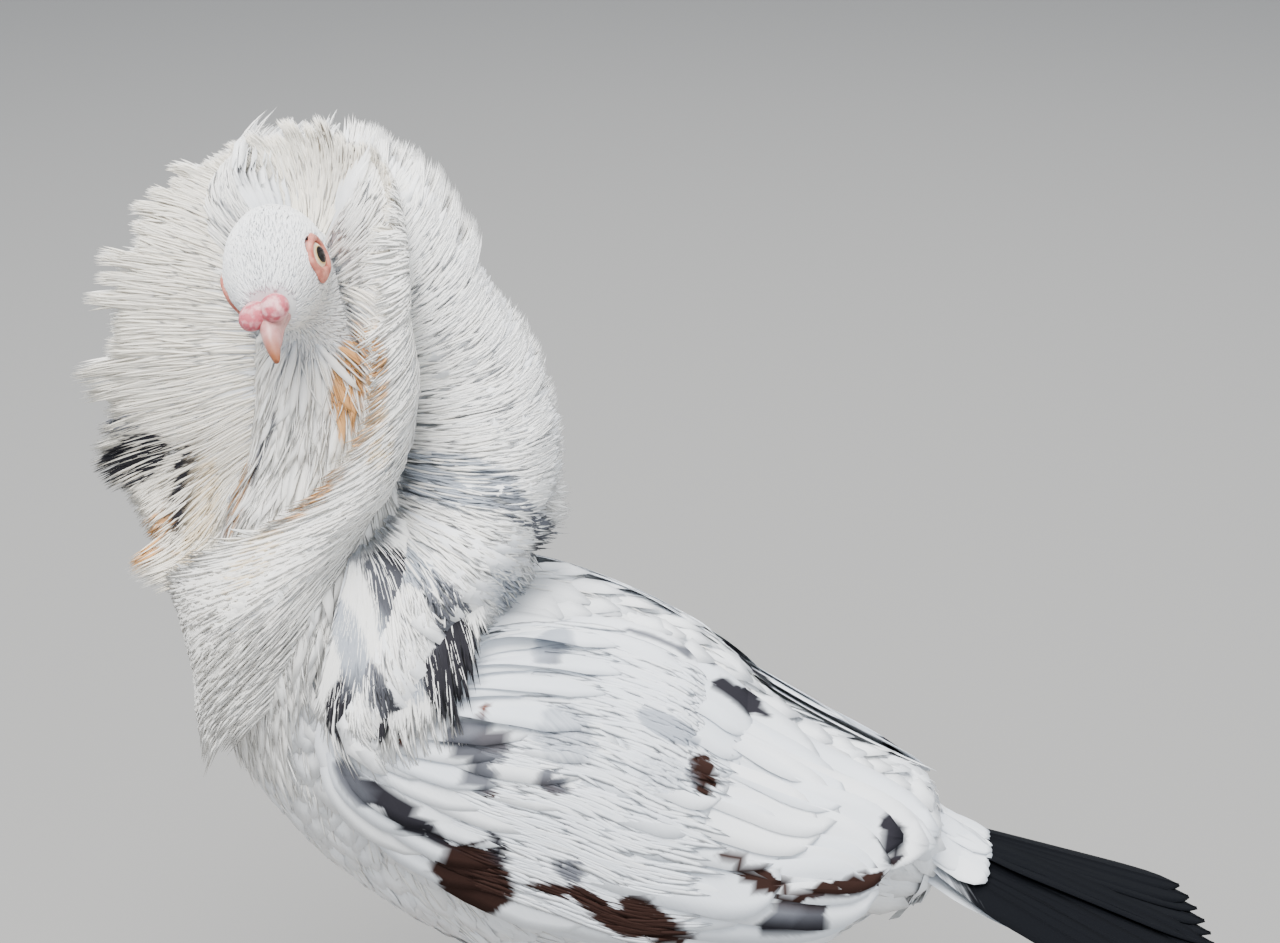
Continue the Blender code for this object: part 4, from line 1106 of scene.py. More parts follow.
def fused(piece, voxel):
    # one closed surface round overlapping forms
    remesh = piece.modifiers.new("remesh", "REMESH")
    remesh.mode = "VOXEL"
    remesh.voxel_size = voxel
    graph = bpy.context.evaluated_depsgraph_get()
    bm = bmesh.new()
    bm.from_mesh(bpy.data.meshes.new_from_object(piece.evaluated_get(graph)))
    return bm


def smoothed(bm, times):
    axes = {"use_axis_x": True, "use_axis_y": True, "use_axis_z": True}
    for _ in range(times):
        bmesh.ops.smooth_vert(bm, verts=bm.verts[:], factor=0.5, **axes)


def makeSkin():
    # one closed surface through all the fleshy parts, drawn in by the depth of the coat
    bm = bmesh.new()
    for node in skin["nodes"]:
        bm.from_mesh(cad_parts[node].data)
    bmesh.ops.remove_doubles(bm, verts=bm.verts[:], dist=1e-6)
    rough = newPiece("roughSkin", bm)
    bm = fused(rough, skin["voxel"])
    bpy.data.objects.remove(rough)
    floor = toFrame(np.array((0.0, 0.0, skin["thighEnd"])))
    geometry = bm.verts[:] + bm.edges[:] + bm.faces[:]
    bmesh.ops.bisect_plane(bm, geom=geometry, plane_co=floor, plane_no=(0, 0, 1), clear_inner=True)
    bmesh.ops.holes_fill(bm, edges=[e for e in bm.edges if e.is_boundary], sides=0)
    smoothed(bm, skin["smoothing"])
    bm.normal_update()
    for vert in bm.verts:
        nearHead = smoothStep(*skin["headRise"], (vert.co.z - shift[2]) / mm)
        depth = skin["depth"] + (skin["headDepth"] - skin["depth"]) * float(nearHead)
        vert.co -= vert.normal * depth * mm
    bmesh.ops.triangulate(bm, faces=bm.faces[:])
    bm.normal_update()
    tree = BVHTree.FromBMesh(bm)
    piece = newPiece("skin", bm)
    piece.data.shade_smooth()
    points = meshPoints(piece.data)
    shade = np.tile(whiteAndShade["high"] * skin["shade"], (len(points), 1))
    tint, mark = paint(mirroredLeft(points), "body", shade)
    setColours(piece.data, {"shade": shade, "tint": tint}, {"mark": mark})
    corners = np.empty(len(piece.data.loops), np.int32)
    piece.data.loops.foreach_get("vertex_index", corners)
    flat = skinUnwrap(points)[corners].reshape(-1, 3, 2)
    wide = np.ptp(flat[..., 0], axis=1) > 0.4
    flat[..., 0] += np.where(wide[:, None] & (flat[..., 0] < 0.5), 0.94, 0)
    setMaps(piece.data, {"OFBake": flat.reshape(-1, 2), "vane": points[corners][:, 1:3] * mm})
    print("skin:", len(piece.data.polygons), "triangles")
    return piece, tree


def skinUnwrap(points):
    # angle and height for the neck and head above, angle and length for the body below
    x, y, z = points[..., 0], points[..., 1], points[..., 2]
    axisX, axisY = neckAxis(z - ruff["eyeLevel"])
    around = np.arctan2(x - axisX, axisY - y) / (2 * math.pi) + 0.5
    upper = np.stack([0.03 + 0.94 * around, 0.52 + 0.46 * np.clip((z - skin["split"]) / 110, 0, 1)], axis=-1)
    rows = np.array(body["rows"])
    girth = np.arctan2(x, np.interp(y, rows[:, 0], rows[:, 1]) - z) / (2 * math.pi) + 0.5
    lower = np.stack([0.03 + 0.94 * girth, 0.02 + 0.46 * np.clip((y + 90) / 200, 0, 1)], axis=-1)
    return np.where((z > skin["split"])[..., None], upper, lower)


def scatter(mesh, spacing, wanted, rng):
    # points spread over the mesh, one to each small cell, where wanted(points) says so
    mesh.calc_loop_triangles()
    corners = np.empty(len(mesh.loop_triangles) * 3, np.int32)
    mesh.loop_triangles.foreach_get("vertices", corners)
    a, b, c = np.moveaxis(meshPoints(mesh)[corners.reshape(-1, 3)], 1, 0)
    cross = np.cross(b - a, c - a)
    area = np.linalg.norm(cross, axis=1) / 2
    keep = wanted((a + b + c) / 3) & (area > 0)
    a, b, c, cross, area = a[keep], b[keep], c[keep], cross[keep], area[keep]
    count = int(area.sum() / spacing**2 * 7)
    chosen = rng.choice(len(area), count, p=area / area.sum())
    r, s = rng.uniform(0, 1, (2, count, 1))
    r, s = np.where(r + s > 1, 1 - r, r), np.where(r + s > 1, 1 - s, s)
    found = a[chosen] + (b - a)[chosen] * r + (c - a)[chosen] * s
    cells = np.floor(found / spacing * 1.12).astype(int)
    _, first = np.unique(cells, axis=0, return_index=True)
    first = np.sort(first)
    return found[first], unit(cross[chosen][first])


def flowAt(points):
    # the lie of the coat: back from the bill, down the neck and breast, then towards the tail
    x, y, z = points.T
    bill = headPlace((17.0, 0.0, -4.0))
    fromBill = unit(points - bill)
    down = unit(np.stack([0.35 * x / 30, np.full_like(x, -0.1), np.full_like(x, -1.0)], axis=-1))
    rear = unit(np.stack([0.1 * x / 40, np.ones_like(x), np.where(y > 70, -0.3, -0.28)], axis=-1))
    thigh = np.stack([0 * x, 0 * x + 0.25, 0 * x - 1], axis=-1)
    breast = smoothStep(-48, 14, y)[:, None]
    flow = down * (1 - breast) + rear * breast
    low = smoothStep(86, 72, z)[:, None] * smoothStep(34, 24, np.abs(y - 8))[:, None]
    flow = flow * (1 - low) + thigh * low
    high = smoothStep(222, 232, z)[:, None]
    return unit(flow * (1 - high) + fromBill * high)


def nearest(tree, points):
    found, normals = [], []
    for p in toFrame(points):
        place, normal, _, _ = tree.find_nearest(p)
        found.append(place)
        normals.append(normal)
    return toDrawing(np.array(found)), np.array(normals)


def coatFeathers(kind, tree, roots, normals, spec, region, mirror, tone, rng):
    # feathers that lie along the skin from their roots
    order = rng.permutation(len(roots))
    root, normal = roots[order], normals[order]
    n = len(root)
    length = spec["length"](root) if callable(spec["length"]) else spec["length"]
    length = length * rng.uniform(0.85, 1.15, n)
    flow = flowAt(root)
    flow = unit(flow - normal * np.sum(flow * normal, axis=1, keepdims=True))
    side = np.cross(normal, flow)
    turn = np.radians(rng.normal(0, spec["stray"], n))[:, None]
    flow = flow * np.cos(turn) + side * np.sin(turn)
    half = spec["half"] * (length / length.mean()) ** 0.5 * rng.uniform(0.85, 1.15, n)
    overPlace, overNormal = nearest(tree, root + flow * length[:, None] * 0.5)
    along = unit(overPlace - root)
    tipPlace, tipNormal = nearest(tree, overPlace + along * length[:, None] * 0.5)
    low, mid, high = spec["lift"]
    wobble = rng.uniform(0.75, 1.25, (n, 1))
    start = root + normal * low
    over = overPlace + overNormal * mid * wobble
    end = tipPlace + tipNormal * high * wobble
    placed = layFeathers(kind, start, over, end, normal, tipNormal, half, spec, rng)
    batch = {"kind": kind, "points": placed, "half": half, "length": length, "bake": skinUnwrap(root)}
    return colourBatch(batch, region, mirror, tone, rng)


def underWing(points):
    # well inside the folded wing's outline, where no body feather shows
    x, y, z = points.T
    rows = np.array(wing["rows"])
    centre, low, high = (np.interp(y, rows[:, 0], rows[:, k]) for k in (1, 4, 5))
    angle = np.degrees(np.arctan2(np.abs(x), z - centre))
    top, bottom, front, rear = wing["inside"]
    return (angle > low + top) & (angle < high - bottom) & (y > front) & (y < rear)


def between(values, low, high=np.inf):
    return (values > low) & (values < high)


bodyCoat = [
    # name, where its roots are, distance between feathers and between strands, length, half width,
    # height at root, middle and tip, seed
    (
        "breastFeathers",
        lambda x, y, z: between(z, 72, 170) & (y <= 20),
        (4.4, 2.9, 18.0, 5.0, (0.3, 1.0, 1.6), 201),
    ),
    (
        "flankFeathers",
        lambda x, y, z: between(z, 60, 170) & (y > 20),
        (4.4, 3.2, 20.0, 5.6, (0.3, 1.3, 2.2), 202),
    ),
    # fills the hollow between the wings
    (
        "mantleFeathers",
        lambda x, y, z: between(x, -25, 25) & between(y, -14, 66) & between(z, 112),
        (4.0, 4.2, 23.0, 6.0, (1.0, 4.6, 5.6), 205),
    ),
    (
        "rumpFeathers",
        lambda x, y, z: between(y, 50) & between(z, 104),
        (3.4, 2.4, 22.0, 5.2, (0.5, 4.2, 5.4), 204),
    ),
    (
        "thighFeathers",
        lambda x, y, z: z <= 80,
        (3.4, 3.0, 11.0, 3.2, (0.1, 0.7, 1.4), 203),
    ),
]
# body whites: painted shade at roots and sides, with some blue-grey painted shade
bodyTone = {"reach": 0.5, "edge": 0.06, "warm": 0.08, "vary": 0.02, "blueShade": 0.12}


def bodyPiece(name, chosen, numbers, mesh, tree):
    spacing, strandSpacing, length, half, lift, seed = numbers
    rng = np.random.default_rng(seed)
    hidden = name in ("breastFeathers", "flankFeathers")

    def wanted(points):
        keep = chosen(*points.T)
        return keep & ~underWing(points) if hidden else keep

    lay = {"length": length, "half": half, "lift": lift, "thick": 0.1, "camber": 0.1, "twist": 3.0}
    lay.update(sway=0.5, stray=8.0)
    fine = {**lay, "half": 0.5, "thick": 0.34, "camber": 0.0, "length": length * 0.9}
    fine["lift"] = tuple(height * 0.9 + 0.15 for height in lift)
    batches = []
    layers = (("contour", spacing, lay, bodyTone), ("strand", strandSpacing, fine, strandTone))
    for kind, gap, spec, hue in layers:
        roots, normals = scatter(mesh, gap, wanted, rng)
        batches.append(coatFeathers(kind, tree, roots, normals, spec, "body", mirroredLeft, hue, rng))
    return joinFeathers(name, batches)


print("skin and body")
skinPiece, skinTree = makeSkin()
dress(skinPiece, softFeather, "plumage", *skin["nodes"])
for name, chosen, numbers in bodyCoat:
    dress(bodyPiece(name, chosen, numbers, skinPiece.data, skinTree), softFeather, "plumage")

face = {
    "lidLength": 5.2,
    "lidHeight": 4.3,
    "spacing": 0.76,
    "half": 0.42,
    "seed": 301,
}
throat = {
    "seed": 302,
    # shape, distance between roots, half width, thickness, height at root, middle and tip
    "layers": [
        ("plume", 2.9, 1.5, 0.12, (0.2, 1.6, 2.8)),
        ("strand", 1.6, 0.42, 0.36, (0.3, 1.6, 2.6)),
    ],
}


def onFace(points):
    # feathered head: not the eyes' bare rims, nor the bill and cere
    f, l, u = headLocal(points).T
    eye = np.hypot(f / (face["lidLength"] + 0.4), u / (face["lidHeight"] + 0.4))
    bare = (eye < 1) & (np.abs(l) > 7)
    billRoot = np.hypot(np.abs(l) / 5.6, (u + 2.2) / 4.6) < 1
    return (points[:, 2] > 226) & ~bare & ~((f > 12.6) & billRoot)


def faceLength(points):
    f, _, u = headLocal(points).T
    back = smoothStep(4, -14, f)
    return 2.4 + 3.4 * back + 1.8 * smoothStep(-8, -15, f) * smoothStep(-2, 6, u)


def onThroat(points):
    local = ruffLocal(points)
    return (points[:, 2] > 150) & (points[:, 2] < 230) & (local[:, 0] > -13) & (np.abs(local[:, 1]) < 22)


def makeHeadFeathers(mesh, tree):
    rng = np.random.default_rng(face["seed"])
    roots, normals = scatter(mesh, face["spacing"], onFace, rng)
    spec = {"length": faceLength, "half": face["half"], "lift": (0.0, 0.16, 0.24), "thick": 0.3}
    spec.update(camber=0.0, twist=0.0, sway=0.15, stray=7.0)
    # painted shade at the roots and sides of the head's strands
    headTone = {"reach": 0.4, "edge": 0.05, "warm": 0.04, "vary": 0.02}
    batch = coatFeathers("strand", tree, roots, normals, spec, "head", None, headTone, rng)
    return joinFeathers("headFeathers", [batch])


def throatLength(points):
    return 15.0 + 13.0 * smoothStep(232, 205, points[:, 2])


def makeThroatFeathers(mesh, tree):
    rng = np.random.default_rng(throat["seed"])
    # painted shade at the roots and sides of the throat's feathers
    throatTone = {"reach": 0.3, "edge": 0.03, "warm": 0.35, "vary": 0.03}
    batches = []
    for kind, spacing, half, thick, lift in throat["layers"]:
        roots, normals = scatter(mesh, spacing, onThroat, rng)
        spec = {"length": throatLength, "half": half, "lift": lift, "thick": thick}
        spec.update(camber=0.05, twist=5.0, sway=1.6, stray=9.0)
        batches.append(coatFeathers(kind, tree, roots, normals, spec, "throat", None, throatTone, rng))
    return joinFeathers("throatFeathers", batches)


print("head and throat")
dress(makeHeadFeathers(skinPiece.data, skinTree), softFeather, "plumage", "head")
dress(makeThroatFeathers(skinPiece.data, skinTree), softFeather, "ruff_feathers", "neck")


def addForm(bm, place, around, along):
    # a closed form from one grid: place(a, t) takes 0 to 1 round it and 0 to 1 along it
    made = bmesh.ops.create_grid(bm, x_segments=around, y_segments=along, size=0.5)["verts"]
    flat = np.array([v.co for v in made]) + 0.5
    for vert, spot in zip(made, toFrame(place(flat[:, 0], flat[:, 1]))):
        vert.co = spot


def closeForms(bm):
    bmesh.ops.remove_doubles(bm, verts=bm.verts[:], dist=1e-6)
    bmesh.ops.dissolve_degenerate(bm, edges=bm.edges[:], dist=1e-7)
    bmesh.ops.recalc_face_normals(bm, faces=bm.faces[:])


def formFromGrid(name, place, around, along):
    bm = bmesh.new()
    addForm(bm, place, around, along)
    closeForms(bm)
    piece = newPiece(name, bm)
    piece.data.shade_smooth()
    return piece


eyes = {
    "ball": 0.95,  # share of the solid eye's radius, so that the lid covers its rim
    "pupil": 26.0,  # degrees from the middle of the eye's face
    "iris": 45.0,
    "ringSpan": 60.0,  # degrees over which the eye's rings are coloured
    "forwardTurn": 0.1,
    "lidOut": 11.7,
    "lidWide": 0.85,
    "lidHigh": 0.8,
    # angle round the lid, extra width and how far it spreads
    "corners": [(-54, 1.9, 24), (128, 0.5, 26)],
}


def makeEyeball(name, side):
    radius = head["eyeRadius"] * eyes["ball"]
    outward = unit(headLeft * side + head["forward"] * eyes["forwardTurn"])
    centre = headPlace((0.0, side * head["eyeOut"], 0.0))
    bm = bmesh.new()
    bmesh.ops.create_uvsphere(bm, u_segments=48, v_segments=36, radius=radius * mm)
    turn = Vector(outward).to_track_quat("Z", "Y").to_matrix()
    bmesh.ops.rotate(bm, verts=bm.verts[:], cent=(0, 0, 0), matrix=turn)
    bmesh.ops.translate(bm, verts=bm.verts[:], vec=toFrame(centre))
    piece = newPiece(name, bm)
    piece.data.shade_smooth()
    points = meshPoints(piece.data)
    facing = unit(points - centre) @ outward
    ring = np.degrees(np.arccos(np.clip(facing, -1, 1))) / eyes["ringSpan"]
    setColours(piece.data, {}, {"ring": ring})
    return piece


def colourRamp(add, value, stops):
    colour = add("ValToRGB", {"Fac": value})["Color"]
    elements = colour.node.color_ramp.elements
    while len(elements) < len(stops):
        elements.new(0.5)
    for element, (spot, shade) in zip(elements, stops):
        element.position = spot
        element.color = (*shade, 1)
    return colour


def eyeMaterial():
    material, add, feed = newMaterial("eyeGloss", {"Roughness": 0.06, "Specular IOR Level": 0.22})
    place = add("TexCoord")["Object"]
    fleck = add("TexNoise", {"Scale": 2200.0, "Detail": 4.0, "Vector": place})["Fac"]
    ring = add("Attribute", attribute_name="ring")["Fac"]
    wander = add("Math", {0: fleck, 1: 0.05, 2: ring}, operation="MULTIPLY_ADD")[0]
    pupil, iris = eyes["pupil"] / eyes["ringSpan"], eyes["iris"] / eyes["ringSpan"]
    stops = [
        (0.0, (0.004, 0.004, 0.005)),
        (pupil + 0.01, (0.006, 0.005, 0.005)),
        (pupil + 0.035, (0.52, 0.36, 0.14)),
        (0.62, (0.80, 0.74, 0.55)),
        (0.76, (0.78, 0.70, 0.50)),
        (iris + 0.02, (0.20, 0.09, 0.06)),
        (0.9, (0.56, 0.31, 0.28)),
    ]
    feed({"Base Color": colourRamp(add, wander, stops)})
    return material


def makeLid(name, side):
    # the fleshy almond rim round one eye, widest at its two corners
    def place(a, t):
        angle, roll = 2 * math.pi * a, 2 * math.pi * t
        extra = sum(
            wide * np.exp(-((((np.degrees(angle) - at + 180) % 360 - 180) / spread) ** 2))
            for at, wide, spread in eyes["corners"]
        )
        high = 1 + 0.12 * np.sin(7 * angle) * np.cos(roll)
        outer = np.clip(np.cos(roll), 0, 1) * extra
        radial = eyes["lidWide"] * np.cos(roll) * high + outer
        f = (face["lidLength"] - 0.6 + radial) * np.cos(angle)
        u = (face["lidHeight"] - 0.5 + radial) * np.sin(angle)
        out = eyes["lidOut"] - 0.05 * np.abs(f) ** 1.5 + eyes["lidHigh"] * np.sin(roll) - outer * 0.35
        return headPlace(np.stack([f, side * out, u], axis=-1))

    return formFromGrid(name, place, 72, 16)


def fleshMaterial(name, spec):
    # bare skin: colour varied by coarse noise, with a fine wrinkled bump
    fixed = {"Roughness": spec["roughness"], "Subsurface Weight": spec["under"], "Subsurface Scale": 0.001}
    material, add, feed = newMaterial(name, fixed)
    place = add("TexCoord")["Object"]
    coarse = add("TexNoise", {"Scale": spec["coarse"], "Detail": 5.0, "Vector": place})["Fac"]
    fine = add("TexVoronoi", {"Scale": spec["fine"], "Vector": place})["Distance"]
    colour = colourRamp(add, coarse, list(zip(spec["span"], (spec["dark"], spec["light"]))))
    if "tip" in spec:
        # it darkens towards a tip, whose place is fixed along the head's forward line
        start, end = (float(toFrame(headPlace(spot)) @ head["forward"]) for spot in spec["tip"])
        along = add("VectorMath", {0: place, 1: head["forward"]}, operation="DOT_PRODUCT")["Value"]
        reach = add("MapRange", {"Value": along, "From Min": start, "From Max": end})[0]
        mixed = {"Factor": reach, "A": colour, "B": (*spec["tipColour"], 1)}
        colour = add("Mix", mixed, data_type="RGBA")["Result"]
    bump = add("Bump", {"Strength": spec["bump"], "Distance": 0.0002, "Height": fine})[0]
    feed({"Base Color": colour, "Normal": bump})
    return material


bill = {
    # forward, height of the mouth, half width, height above and below it
    "stations": [
        (13.4, -4.8, 3.9, 5.2, 2.2),
        (14.8, -4.8, 3.6, 5.0, 2.0),
        (18, -5.0, 2.9, 4.3, 1.8),
        (21.3, -5.9, 2.3, 3.5, 1.6),
        (24.2, -7.6, 1.6, 2.8, 1.2),
        (26.4, -9.8, 0.7, 1.6, 0.5),
    ],
    "lowerEnd": 3.75,
    "cere": {
        "forward": 17.3,
        "up": -0.6,
        "out": 2.7,
        "size": (4.2, 3.5, 3.1),
        "turn": 0.35,
        "voxel": 0.00028,
        "smoothing": 5,
    },
}


def makeBillHalf(name, upper, last):
    sign = 1 if upper else -1

    def place(a, t):
        station = curveThrough(bill["stations"], last * t**0.9)
        f, mouth, half, above, below = station.T
        high = above if upper else below
        close = np.sqrt(np.clip(1 - ((t - 0.5) * 2) ** 12, 0, 1))
        angle = 2 * math.pi * a
        side, rise = np.sin(angle), np.cos(angle)
        u = np.where(rise > 0, np.clip(rise, 0, 1) ** 0.85, 0.12 * rise)
        rise = mouth + sign * (0.12 + high * u * close)
        return headPlace(np.stack([f, half * side * close, rise], axis=-1))

    return formFromGrid(name, place, 40, 36)


def makeCere():
    # two soft swellings joined over the bill's root, with a shallow groove between them
    spec = bill["cere"]
    bm = bmesh.new()
    frameTurn = Matrix([list(row) for row in np.stack([head["forward"], headLeft, headUp], axis=1)])
    for side in (-1, 1):
        made = bmesh.ops.create_icosphere(bm, subdivisions=4, radius=mm)["verts"]
        bmesh.ops.scale(bm, verts=made, vec=spec["size"])
        bmesh.ops.rotate(bm, verts=made, cent=(0, 0, 0), matrix=Matrix.Rotation(spec["turn"] * side, 3, "Z"))
        bmesh.ops.rotate(bm, verts=made, cent=(0, 0, 0), matrix=frameTurn)
        spot = headPlace((spec["forward"], side * spec["out"], spec["up"]))
        bmesh.ops.translate(bm, verts=made, vec=toFrame(spot))
    return fusedPiece("cereFlesh", bm, spec["voxel"], spec["smoothing"])


legs = {
    # x, y, z and radius down the left leg
    "tarsus": [
        (21.5, 12, 60, 6.0),
        (21.5, 13.5, 50, 5.4),
        (21, 13, 39, 3.6),
        (21, 9, 30, 2.5),
        (20.5, 4, 18, 2.4),
        (20.3, 0.5, 8, 2.9),
        (20.2, -0.5, 4.2, 2.6),
    ],
    # turn from straight ahead and length
    "toes": [(-16, 22), (4, 28), (26, 24), (176, 15)],
    # share of the length, height of the middle and radius
    "toe": [
        (0.0, 3.6, 2.6),
        (0.22, 3.3, 2.2),
        (0.45, 2.3, 2.3),
        (0.62, 2.2, 1.9),
        (0.8, 1.9, 2.0),
        (1.0, 1.9, 1.2),
    ],
    # share of the length, drop and radius
    "claw": [(0.0, 0, 1.15), (0.35, 0.0, 0.95), (0.7, 0.45, 0.6), (1.0, 1.3, 0.16)],
    "clawLength": 6.8,
    "plateEvery": 1.9,
    "plateDepth": 0.11,
    "voxel": 0.00042,
    "smoothing": 2,
    "tipLength": 1.6,
}


def limbPlace(rows, front, plates):
    # a round limb through rows of x, y, z, radius, with overlapping plates down its front
    rows = [tuple(map(float, row)) for row in rows]
    steps = np.linalg.norm(np.diff(np.array(rows)[:, :3], axis=0), axis=1)
    total = steps.sum()

    def place(a, t):
        at = t * (len(rows) - 1)
        spot = curveThrough(rows, at)
        run = unit((curveThrough(rows, at + 0.05) - curveThrough(rows, at - 0.05))[..., :3])
        ahead = unit(front - run * np.sum(run * front, axis=-1, keepdims=True))
        across = np.cross(run, ahead)
        angle = 2 * math.pi * a
        rise = 1 - (t * total / legs["plateEvery"]) % 1
        swell = 1 + plates * (rise - 0.5) * np.clip(np.cos(angle) * 2 + 0.4, 0, 1)
        end = np.clip(np.minimum(t, 1 - t) * total / legs["tipLength"], 0, 1)
        blunt = np.sqrt(np.clip(1 - (1 - end) ** 2, 0, 1))
        radius = (spot[..., 3] * swell * blunt)[..., None]
        ring = ahead * np.cos(angle)[..., None] + across * np.sin(angle)[..., None]
        return spot[..., :3] + ring * radius

    return place


def toeRows(side, angle, length):
    turn = math.radians(angle) * side
    ahead = np.array((math.sin(turn), -math.cos(turn), 0.0))
    foot = np.array((legs["tarsus"][-1][0] * side, legs["tarsus"][-1][1], 0.0))
    rows = [(*(foot + ahead * length * t + (0, 0, z)), r) for t, z, r in legs["toe"]]
    return rows, ahead


def fusedPiece(name, bm, voxel, smoothing):
    piece = newPiece(name, bm)
    bm = fused(piece, voxel)
    piece.modifiers.clear()
    smoothed(bm, smoothing)
    bm.to_mesh(piece.data)
    bm.free()
    piece.data.shade_smooth()
    return piece


def makeLeg(word, side):
    bm = bmesh.new()
    front = np.array((0.0, -1.0, 0.0))
    top = np.array((0.0, 0.0, 1.0))
    tarsus = [(x * side, y, z, r) for x, y, z, r in legs["tarsus"]]
    addForm(bm, limbPlace(tarsus, front, legs["plateDepth"]), 40, 160)
    for number, (angle, length) in enumerate(legs["toes"]):
        rows, ahead = toeRows(side, angle, length)
        addForm(bm, limbPlace(rows, top, legs["plateDepth"]), 28, 90)
        tip = np.array(rows[-1][:3]) - ahead * 0.6
        reach = ahead * legs["clawLength"]
        claw = [(*(tip + reach * t - (0, 0, drop)), r) for t, drop, r in legs["claw"]]
        piece = formFromGrid(f"claw_{word}_{number + 1}_horn", limbPlace(claw, top, 0.0), 20, 24)
        dress(piece, bare["clawHorn"], "claw", f"claw_{word}_{number + 1}")
    for vert in bm.verts:
        vert.co.z = max(vert.co.z, 0.0002)
    closeForms(bm)
    return fusedPiece("foot_" + word, bm, legs["voxel"], legs["smoothing"])


print("eyes, bill and cere")
fleshes = {
    "lidFlesh": {
        "roughness": 0.5, "under": 0.15, "coarse": 500.0, "fine": 1800.0, "span": (0.35, 0.65),
        "dark": (0.38, 0.09, 0.06), "light": (0.62, 0.25, 0.19), "bump": 0.4,
    },
    "cereFleshPowder": {
        "roughness": 0.7, "under": 0.15, "coarse": 420.0, "fine": 1500.0, "span": (0.42, 0.62),
        "dark": (0.48, 0.10, 0.13), "light": (0.74, 0.40, 0.42), "bump": 0.5,
    },
    "billHorn": {
        "roughness": 0.38, "under": 0.1, "coarse": 300.0, "fine": 900.0, "span": (0.35, 0.7),
        "dark": (0.46, 0.21, 0.20), "light": (0.66, 0.41, 0.38), "bump": 0.1,
        "tip": ((22.5, 0, -6), (26.0, 0, -9)), "tipColour": (0.30, 0.10, 0.04),
    },
    "footSkin": {
        "roughness": 0.55, "under": 0.1, "coarse": 260.0, "fine": 1300.0, "span": (0.35, 0.65),
        "dark": (0.40, 0.10, 0.09), "light": (0.62, 0.24, 0.21), "bump": 0.6,
    },
    "clawHorn": {
        "roughness": 0.4, "under": 0.0, "coarse": 500.0, "fine": 900.0, "span": (0.35, 0.7),
        "dark": (0.10, 0.075, 0.065), "light": (0.26, 0.19, 0.16), "bump": 0.15,
    },
}
bare = {name: fleshMaterial(name, spec) for name, spec in fleshes.items()}
eyeGloss = eyeMaterial()
for word, side in (("left", 1), ("right", -1)):
    dress(makeEyeball("eyeball_" + word, side), eyeGloss, "eye", "eye_" + word)
    dress(makeLid("lid_" + word, side), bare["lidFlesh"], "cere")
dress(makeBillHalf("billUpper", True, 5.0), bare["billHorn"], "bill", "bill_upper")
dress(makeBillHalf("billLower", False, bill["lowerEnd"]), bare["billHorn"], "bill", "bill_lower")
dress(makeCere(), bare["cereFleshPowder"], "cere", "cere")

print("feet")
for word, side in (("left", 1), ("right", -1)):
    dress(makeLeg(word, side), bare["footSkin"], "leg", "leg_" + word)

wingCoat = {
    # fine strands over the wing's fore part
    "down": {"count": 1300, "across": (0.04, 0.96), "start": (-0.3, 4.2), "length": (0.5, 0.9)},
    # end along the wing, length, half width, count, shape
    "rows": [
        (7.7, 4.2, 9.6, 9, "flight"),
        (6.35, 3.6, 9.4, 8, "flight"),
        (5.1, 3.0, 8.8, 9, "flight"),
        (4.0, 2.5, 8.2, 10, "covert"),
        (3.0, 2.1, 7.4, 11, "covert"),
        (2.3, 1.9, 7.0, 11, "covert"),
        (1.65, 1.7, 6.6, 11, "covert"),
        (1.1, 1.6, 6.2, 11, "covert"),
        (0.6, 1.5, 5.8, 11, "covert"),
        (0.15, 1.3, 5.2, 10, "covert"),
    ],
    # how much shorter the lowest feather of a row is, as a share of its length
    "shorter": {"flight": 0.28, "covert": 0.1},
    "primaries": {
        "start": 3.4,
        "end": 7.1,
        "count": 8,
        "half": 6.6,
        "roots": (0.6, 0.98),
        "tips": (0.58, 0.96),
    },
}
# wing whites: painted shade over three quarters of each feather from its root, and more blue-grey painted
# shade than the body
wingTone = {"reach": 0.75, "edge": 0.05, "warm": 0.03, "vary": 0.015, "blueShade": 0.3}


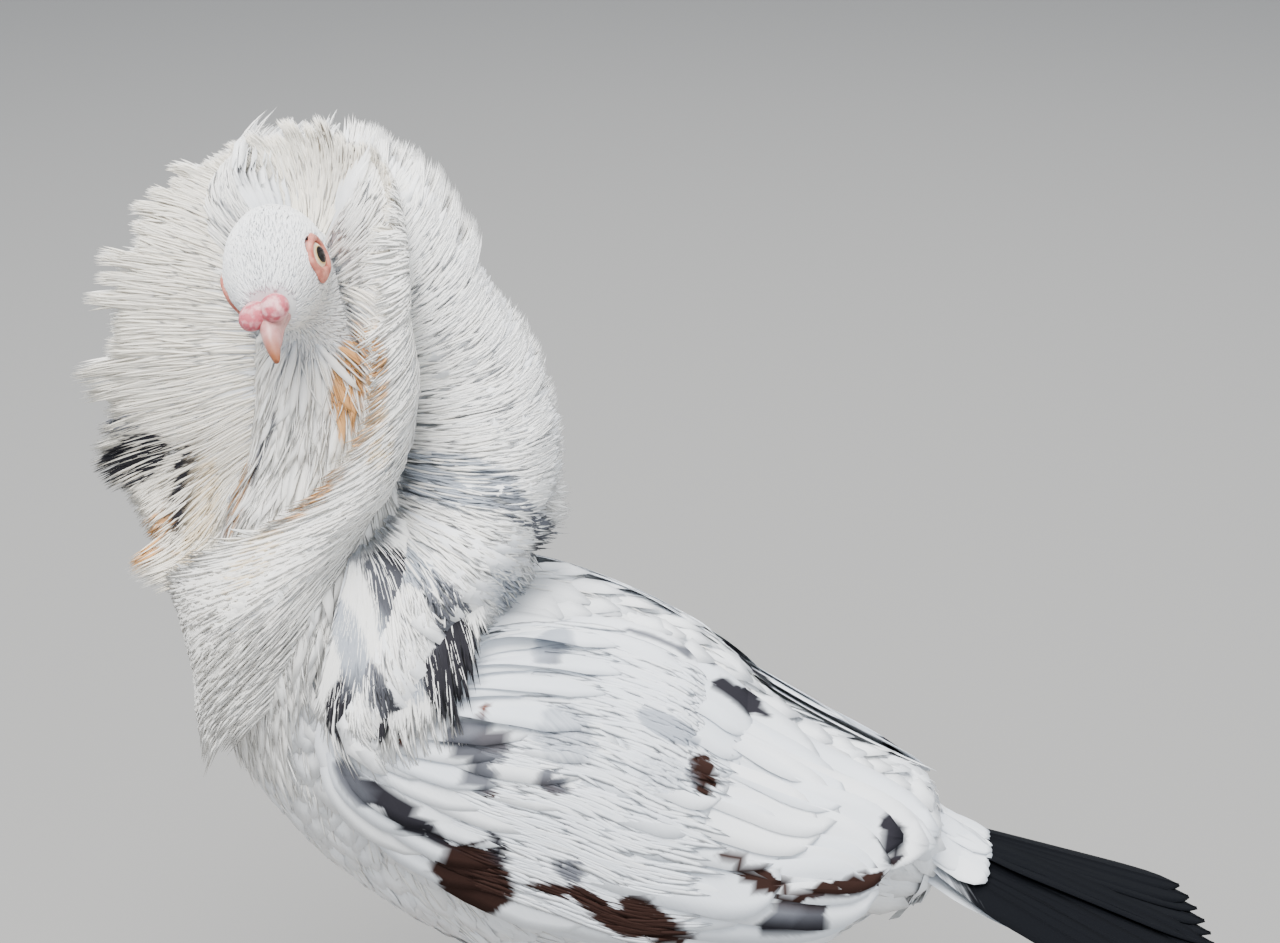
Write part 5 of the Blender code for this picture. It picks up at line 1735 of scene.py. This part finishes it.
def wingPiece(name, side, seed):
    rng = np.random.default_rng(seed)
    sheet = wingSheet(side)

    def across(u, v):
        # these feathers run along the wing, so length and share change places
        return sheet(v, u)

    guide = {"sheet": across, "facing": side, "step": 0.03, "box": (0.0, 1.0)}
    first = wingCoat["primaries"]
    n = first["count"]
    order = np.arange(n) / (n - 1)
    start, end = (low + (high - low) * order for low, high in (first["roots"], first["tips"]))
    spec = {"half": first["half"], "thick": 0.3, "camber": 0.1, "twist": 1.0, "sway": 0.5}
    spec.update(lean=-3.0 * side, lift=(-5.4, -4.9, -4.4))
    ends = first["start"] + (first["end"] - first["start"]) * (1.0 - 0.12 * order)
    starts = np.full(n, first["start"])
    batches = [sheetFeathers("flight", guide, start, starts, ends, spec, rng, end - start)]
    last = wingCoat["rows"][0][0]
    for end, length, half, count, kind in wingCoat["rows"]:
        share = (np.arange(count) + 0.5) / count
        start = 0.03 + 0.94 * share
        drift = 0.02 + 0.93 * share - start
        top = -0.9 + 1.6 * (last - end) / last
        spec = {"half": half, "thick": 0.07, "camber": 0.03, "twist": 1.0, "sway": 1.2}
        spec.update(lean=-1.2 * side, lift=(top - 0.8, top - 0.2, top))
        short = wingCoat["shorter"][kind]
        ends = end - short * length * share**2 + rng.uniform(-0.22, 0.22, count)
        batches.append(sheetFeathers(kind, guide, start, ends - length, ends, spec, rng, drift))
    down = wingCoat["down"]
    n = down["count"]
    share = rng.uniform(*down["across"], n)
    start = rng.uniform(*down["start"], n)
    spec = {**strandSpec(0.45, 0.4), "half": 0.9, "thick": 0.12}
    slip = rng.normal(0, 0.012, n)
    end = start + rng.uniform(*down["length"], n)
    batches.append(sheetFeathers("strand", guide, share, start, end, spec, rng, slip))
    batches = [colourBatch(batch, "wing", mirroredLeft, wingTone, rng) for batch in batches]
    if side < 0:
        for batch in batches:
            tint, mark = paint(batch["points"], "farWing", batch["shade"])
            batch["tint"] = np.where((mark > batch["mark"])[..., None], tint, batch["tint"])
            batch["mark"] = np.maximum(mark, batch["mark"])
    return joinFeathers(name, batches)


tailCoat = {
    # reach along the tail, count, height, half width
    "coverts": [
        (0.19, 9, 3.4, 6.0),
        (0.12, 9, 4.4, 5.6),
        (0.46, 9, -3.4, 6.2),
        (0.32, 8, -4.4, 5.6),
    ],
    "half": 8.2,
}


def tailPiece(seed):
    rng = np.random.default_rng(seed)
    guide = {"sheet": tailSheet, "facing": 1, "step": 0.02, "box": (-1.0, 2.0)}
    n = tail["feathers"]
    u = (np.arange(n) + 0.5) / n * 2 - 1
    batches = []
    spec = {"half": tailCoat["half"], "thick": 0.32, "camber": 0.06, "twist": 1.0, "sway": 0.3, "lift": 0.0}
    for hand in (-1, 1):
        own = u[np.sign(u) == hand]
        lean = {**spec, "lean": 7.0 * hand}
        start = np.full(len(own), -0.05)
        batches.append(sheetFeathers("flight", guide, own, start, 1 - 0.05 * own**2, lean, rng))
    for reach, count, height, half in tailCoat["coverts"]:
        u = (np.arange(count) + 0.5) / count * 2 - 1
        spec = {"half": half, "thick": 0.2, "camber": 0.1, "twist": 2.0, "sway": 0.6}
        spec["lift"] = (height, height * 0.8, height * 0.35)
        ends = reach * rng.uniform(0.9, 1.05, count)
        batches.append(sheetFeathers("covert", guide, u, np.full(count, -0.12), ends, spec, rng))
    regions = ["tail"] * 2 + ["cover"] * len(tailCoat["coverts"])
    batches = [colourBatch(batch, region, None, wingTone, rng) for batch, region in zip(batches, regions)]
    return joinFeathers("tailFeathers", batches)


print("wings and tail")
for word, side, seed in (("Left", 1, 401), ("Right", -1, 402)):
    piece = wingPiece(f"wing{word}Feathers", side, seed)
    dress(piece, flightFeather, "flight_feathers", "wing_" + word.lower())
dress(tailPiece(403), flightFeather, "flight_feathers", "tail")
